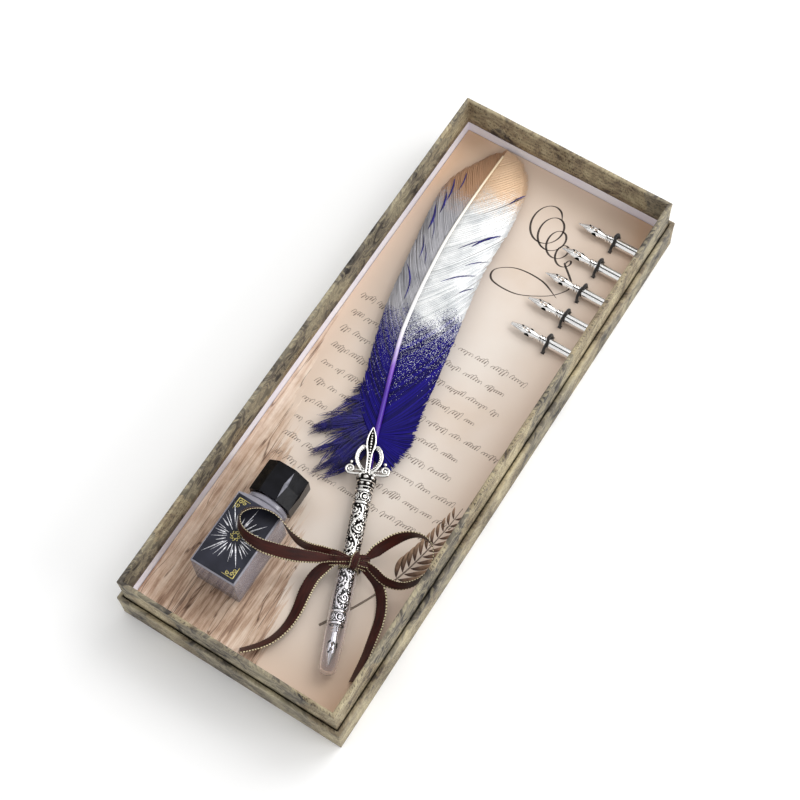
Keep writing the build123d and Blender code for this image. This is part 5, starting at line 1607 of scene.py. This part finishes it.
def pleated_strand(name, points, widths, heights, columns=30):
    """A gathered ribbon: a closed section whose upper side has folds, |cos| shaped, carried along a
    line. widths and heights are told at the points."""
    path = through(points, STRAND_ROWS)
    sizes = [np.interp(np.linspace(0, 1, STRAND_ROWS), np.linspace(0, 1, len(points)), told)
             for told in (widths, heights)]
    x = np.linspace(-0.5, 0.5, columns)
    arch = np.sqrt(np.clip(1 - (2 * x) ** 2, 0, 1))
    top = arch * (0.62 + 0.38 * np.abs(np.cos(pi * FOLDS * x)))
    section = np.concatenate([np.stack([x, -0.5 * arch], -1), np.stack([x, top], -1)[::-1][1:-1]])
    on_axis = PEN_ORIGIN + (path - PEN_ORIGIN) @ PEN_ALONG[:, None] * PEN_ALONG
    outward = unit(path - on_axis)
    made = carry(path, np.cross(outward, tangents(path)), section, *sizes)
    ripple = 0.12 * wander(STRAND_ROWS, 9, len(name))[:, None, None]
    return surface(name, made + ripple * outward[:, None])


floor_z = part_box("ribbon_band")[0][2] / MM + 0.3 - PEN_ORIGIN[2]
strap_path = [(STRAP_HALF * cos(a), STRAP_RISE * sin(a)) for a in np.linspace(0, pi, 21)]
strap_path += [(-STRAP_HALF, z) for z in np.linspace(0, floor_z + 0.6, 6)[1:]]
strap_path += [(x, floor_z) for x in np.linspace(-4.0, 4.0, 7)]
strap_path += [(STRAP_HALF, z) for z in np.linspace(floor_z + 0.6, 0, 6)[:-1]]
strap_path = np.array([pen_point(STRAP_U, across, up) for across, up in strap_path])
strap_way = unit(np.roll(strap_path, -1, 0) - np.roll(strap_path, 1, 0))
strap_out = np.cross(strap_way, -PEN_ALONG)
section = ribbon_profile(STRAP_WIDTH, RIBBON_THICKNESS)
strap_points = strap_path[:, None] - section[:, :1] * PEN_ALONG + section[:, 1:] * strap_out[:, None]
strap = surface("ribbon_strap", strap_points, ring=True)
dress(strap, "insert", satin_material(40.0), "ribbon_band", slot="ribbon")

# Each strand: its points along, across and above the holder, and its widths and heights there
KNOT_STRANDS = {
    "knot_rising": (
        ((-2.0, -9.6, 4.9), (-2.0, -4.5, 6.1), (-1.3, 0.5, 6.6), (0.3, 5.0, 6.1), (1.2, 9.6, 4.9)),
        (3.6, 3.2, 2.8, 3.2, 3.6), (0.7, 1.1, 1.4, 1.2, 0.7),
    ),
    "knot_falling": (
        ((1.2, -9.6, 4.9), (0.6, -5.0, 5.8), (-0.8, -0.5, 5.8), (-2.0, 4.5, 5.6), (-2.0, 9.6, 4.9)),
        (3.6, 3.0, 2.8, 3.2, 3.6), (0.7, 1.0, 1.2, 1.1, 0.7),
    ),
    "knot_to_tails": (
        ((-3.0, -8.6, 2.9), (-3.1, -4.8, 4.9), (-3.0, 0.0, 5.4), (-3.1, 4.8, 4.9), (-3.0, 8.6, 2.9)),
        (3.6, 3.2, 3.2, 3.4, 3.8), (0.7, 1.0, 1.2, 1.1, 0.7),
    ),
    "knot_over": (
        ((-5.0, 1.6, 4.0), (-4.5, 2.6, 6.3), (-1.9, 3.2, 7.9), (0.9, 3.8, 7.0), (1.9, 4.2, 4.6)),
        (2.8, 3.8, 4.4, 4.0, 2.8), (0.7, 1.2, 1.5, 1.2, 0.7),
    ),
}
for name, (points, widths, heights) in KNOT_STRANDS.items():
    strand = pleated_strand(name, [pen_point(*point) for point in points], widths, heights)
    dress(strand, "insert", satin_material(22.0), "ribbon_knot", slot="ribbon")
print("strap and knot are tied")
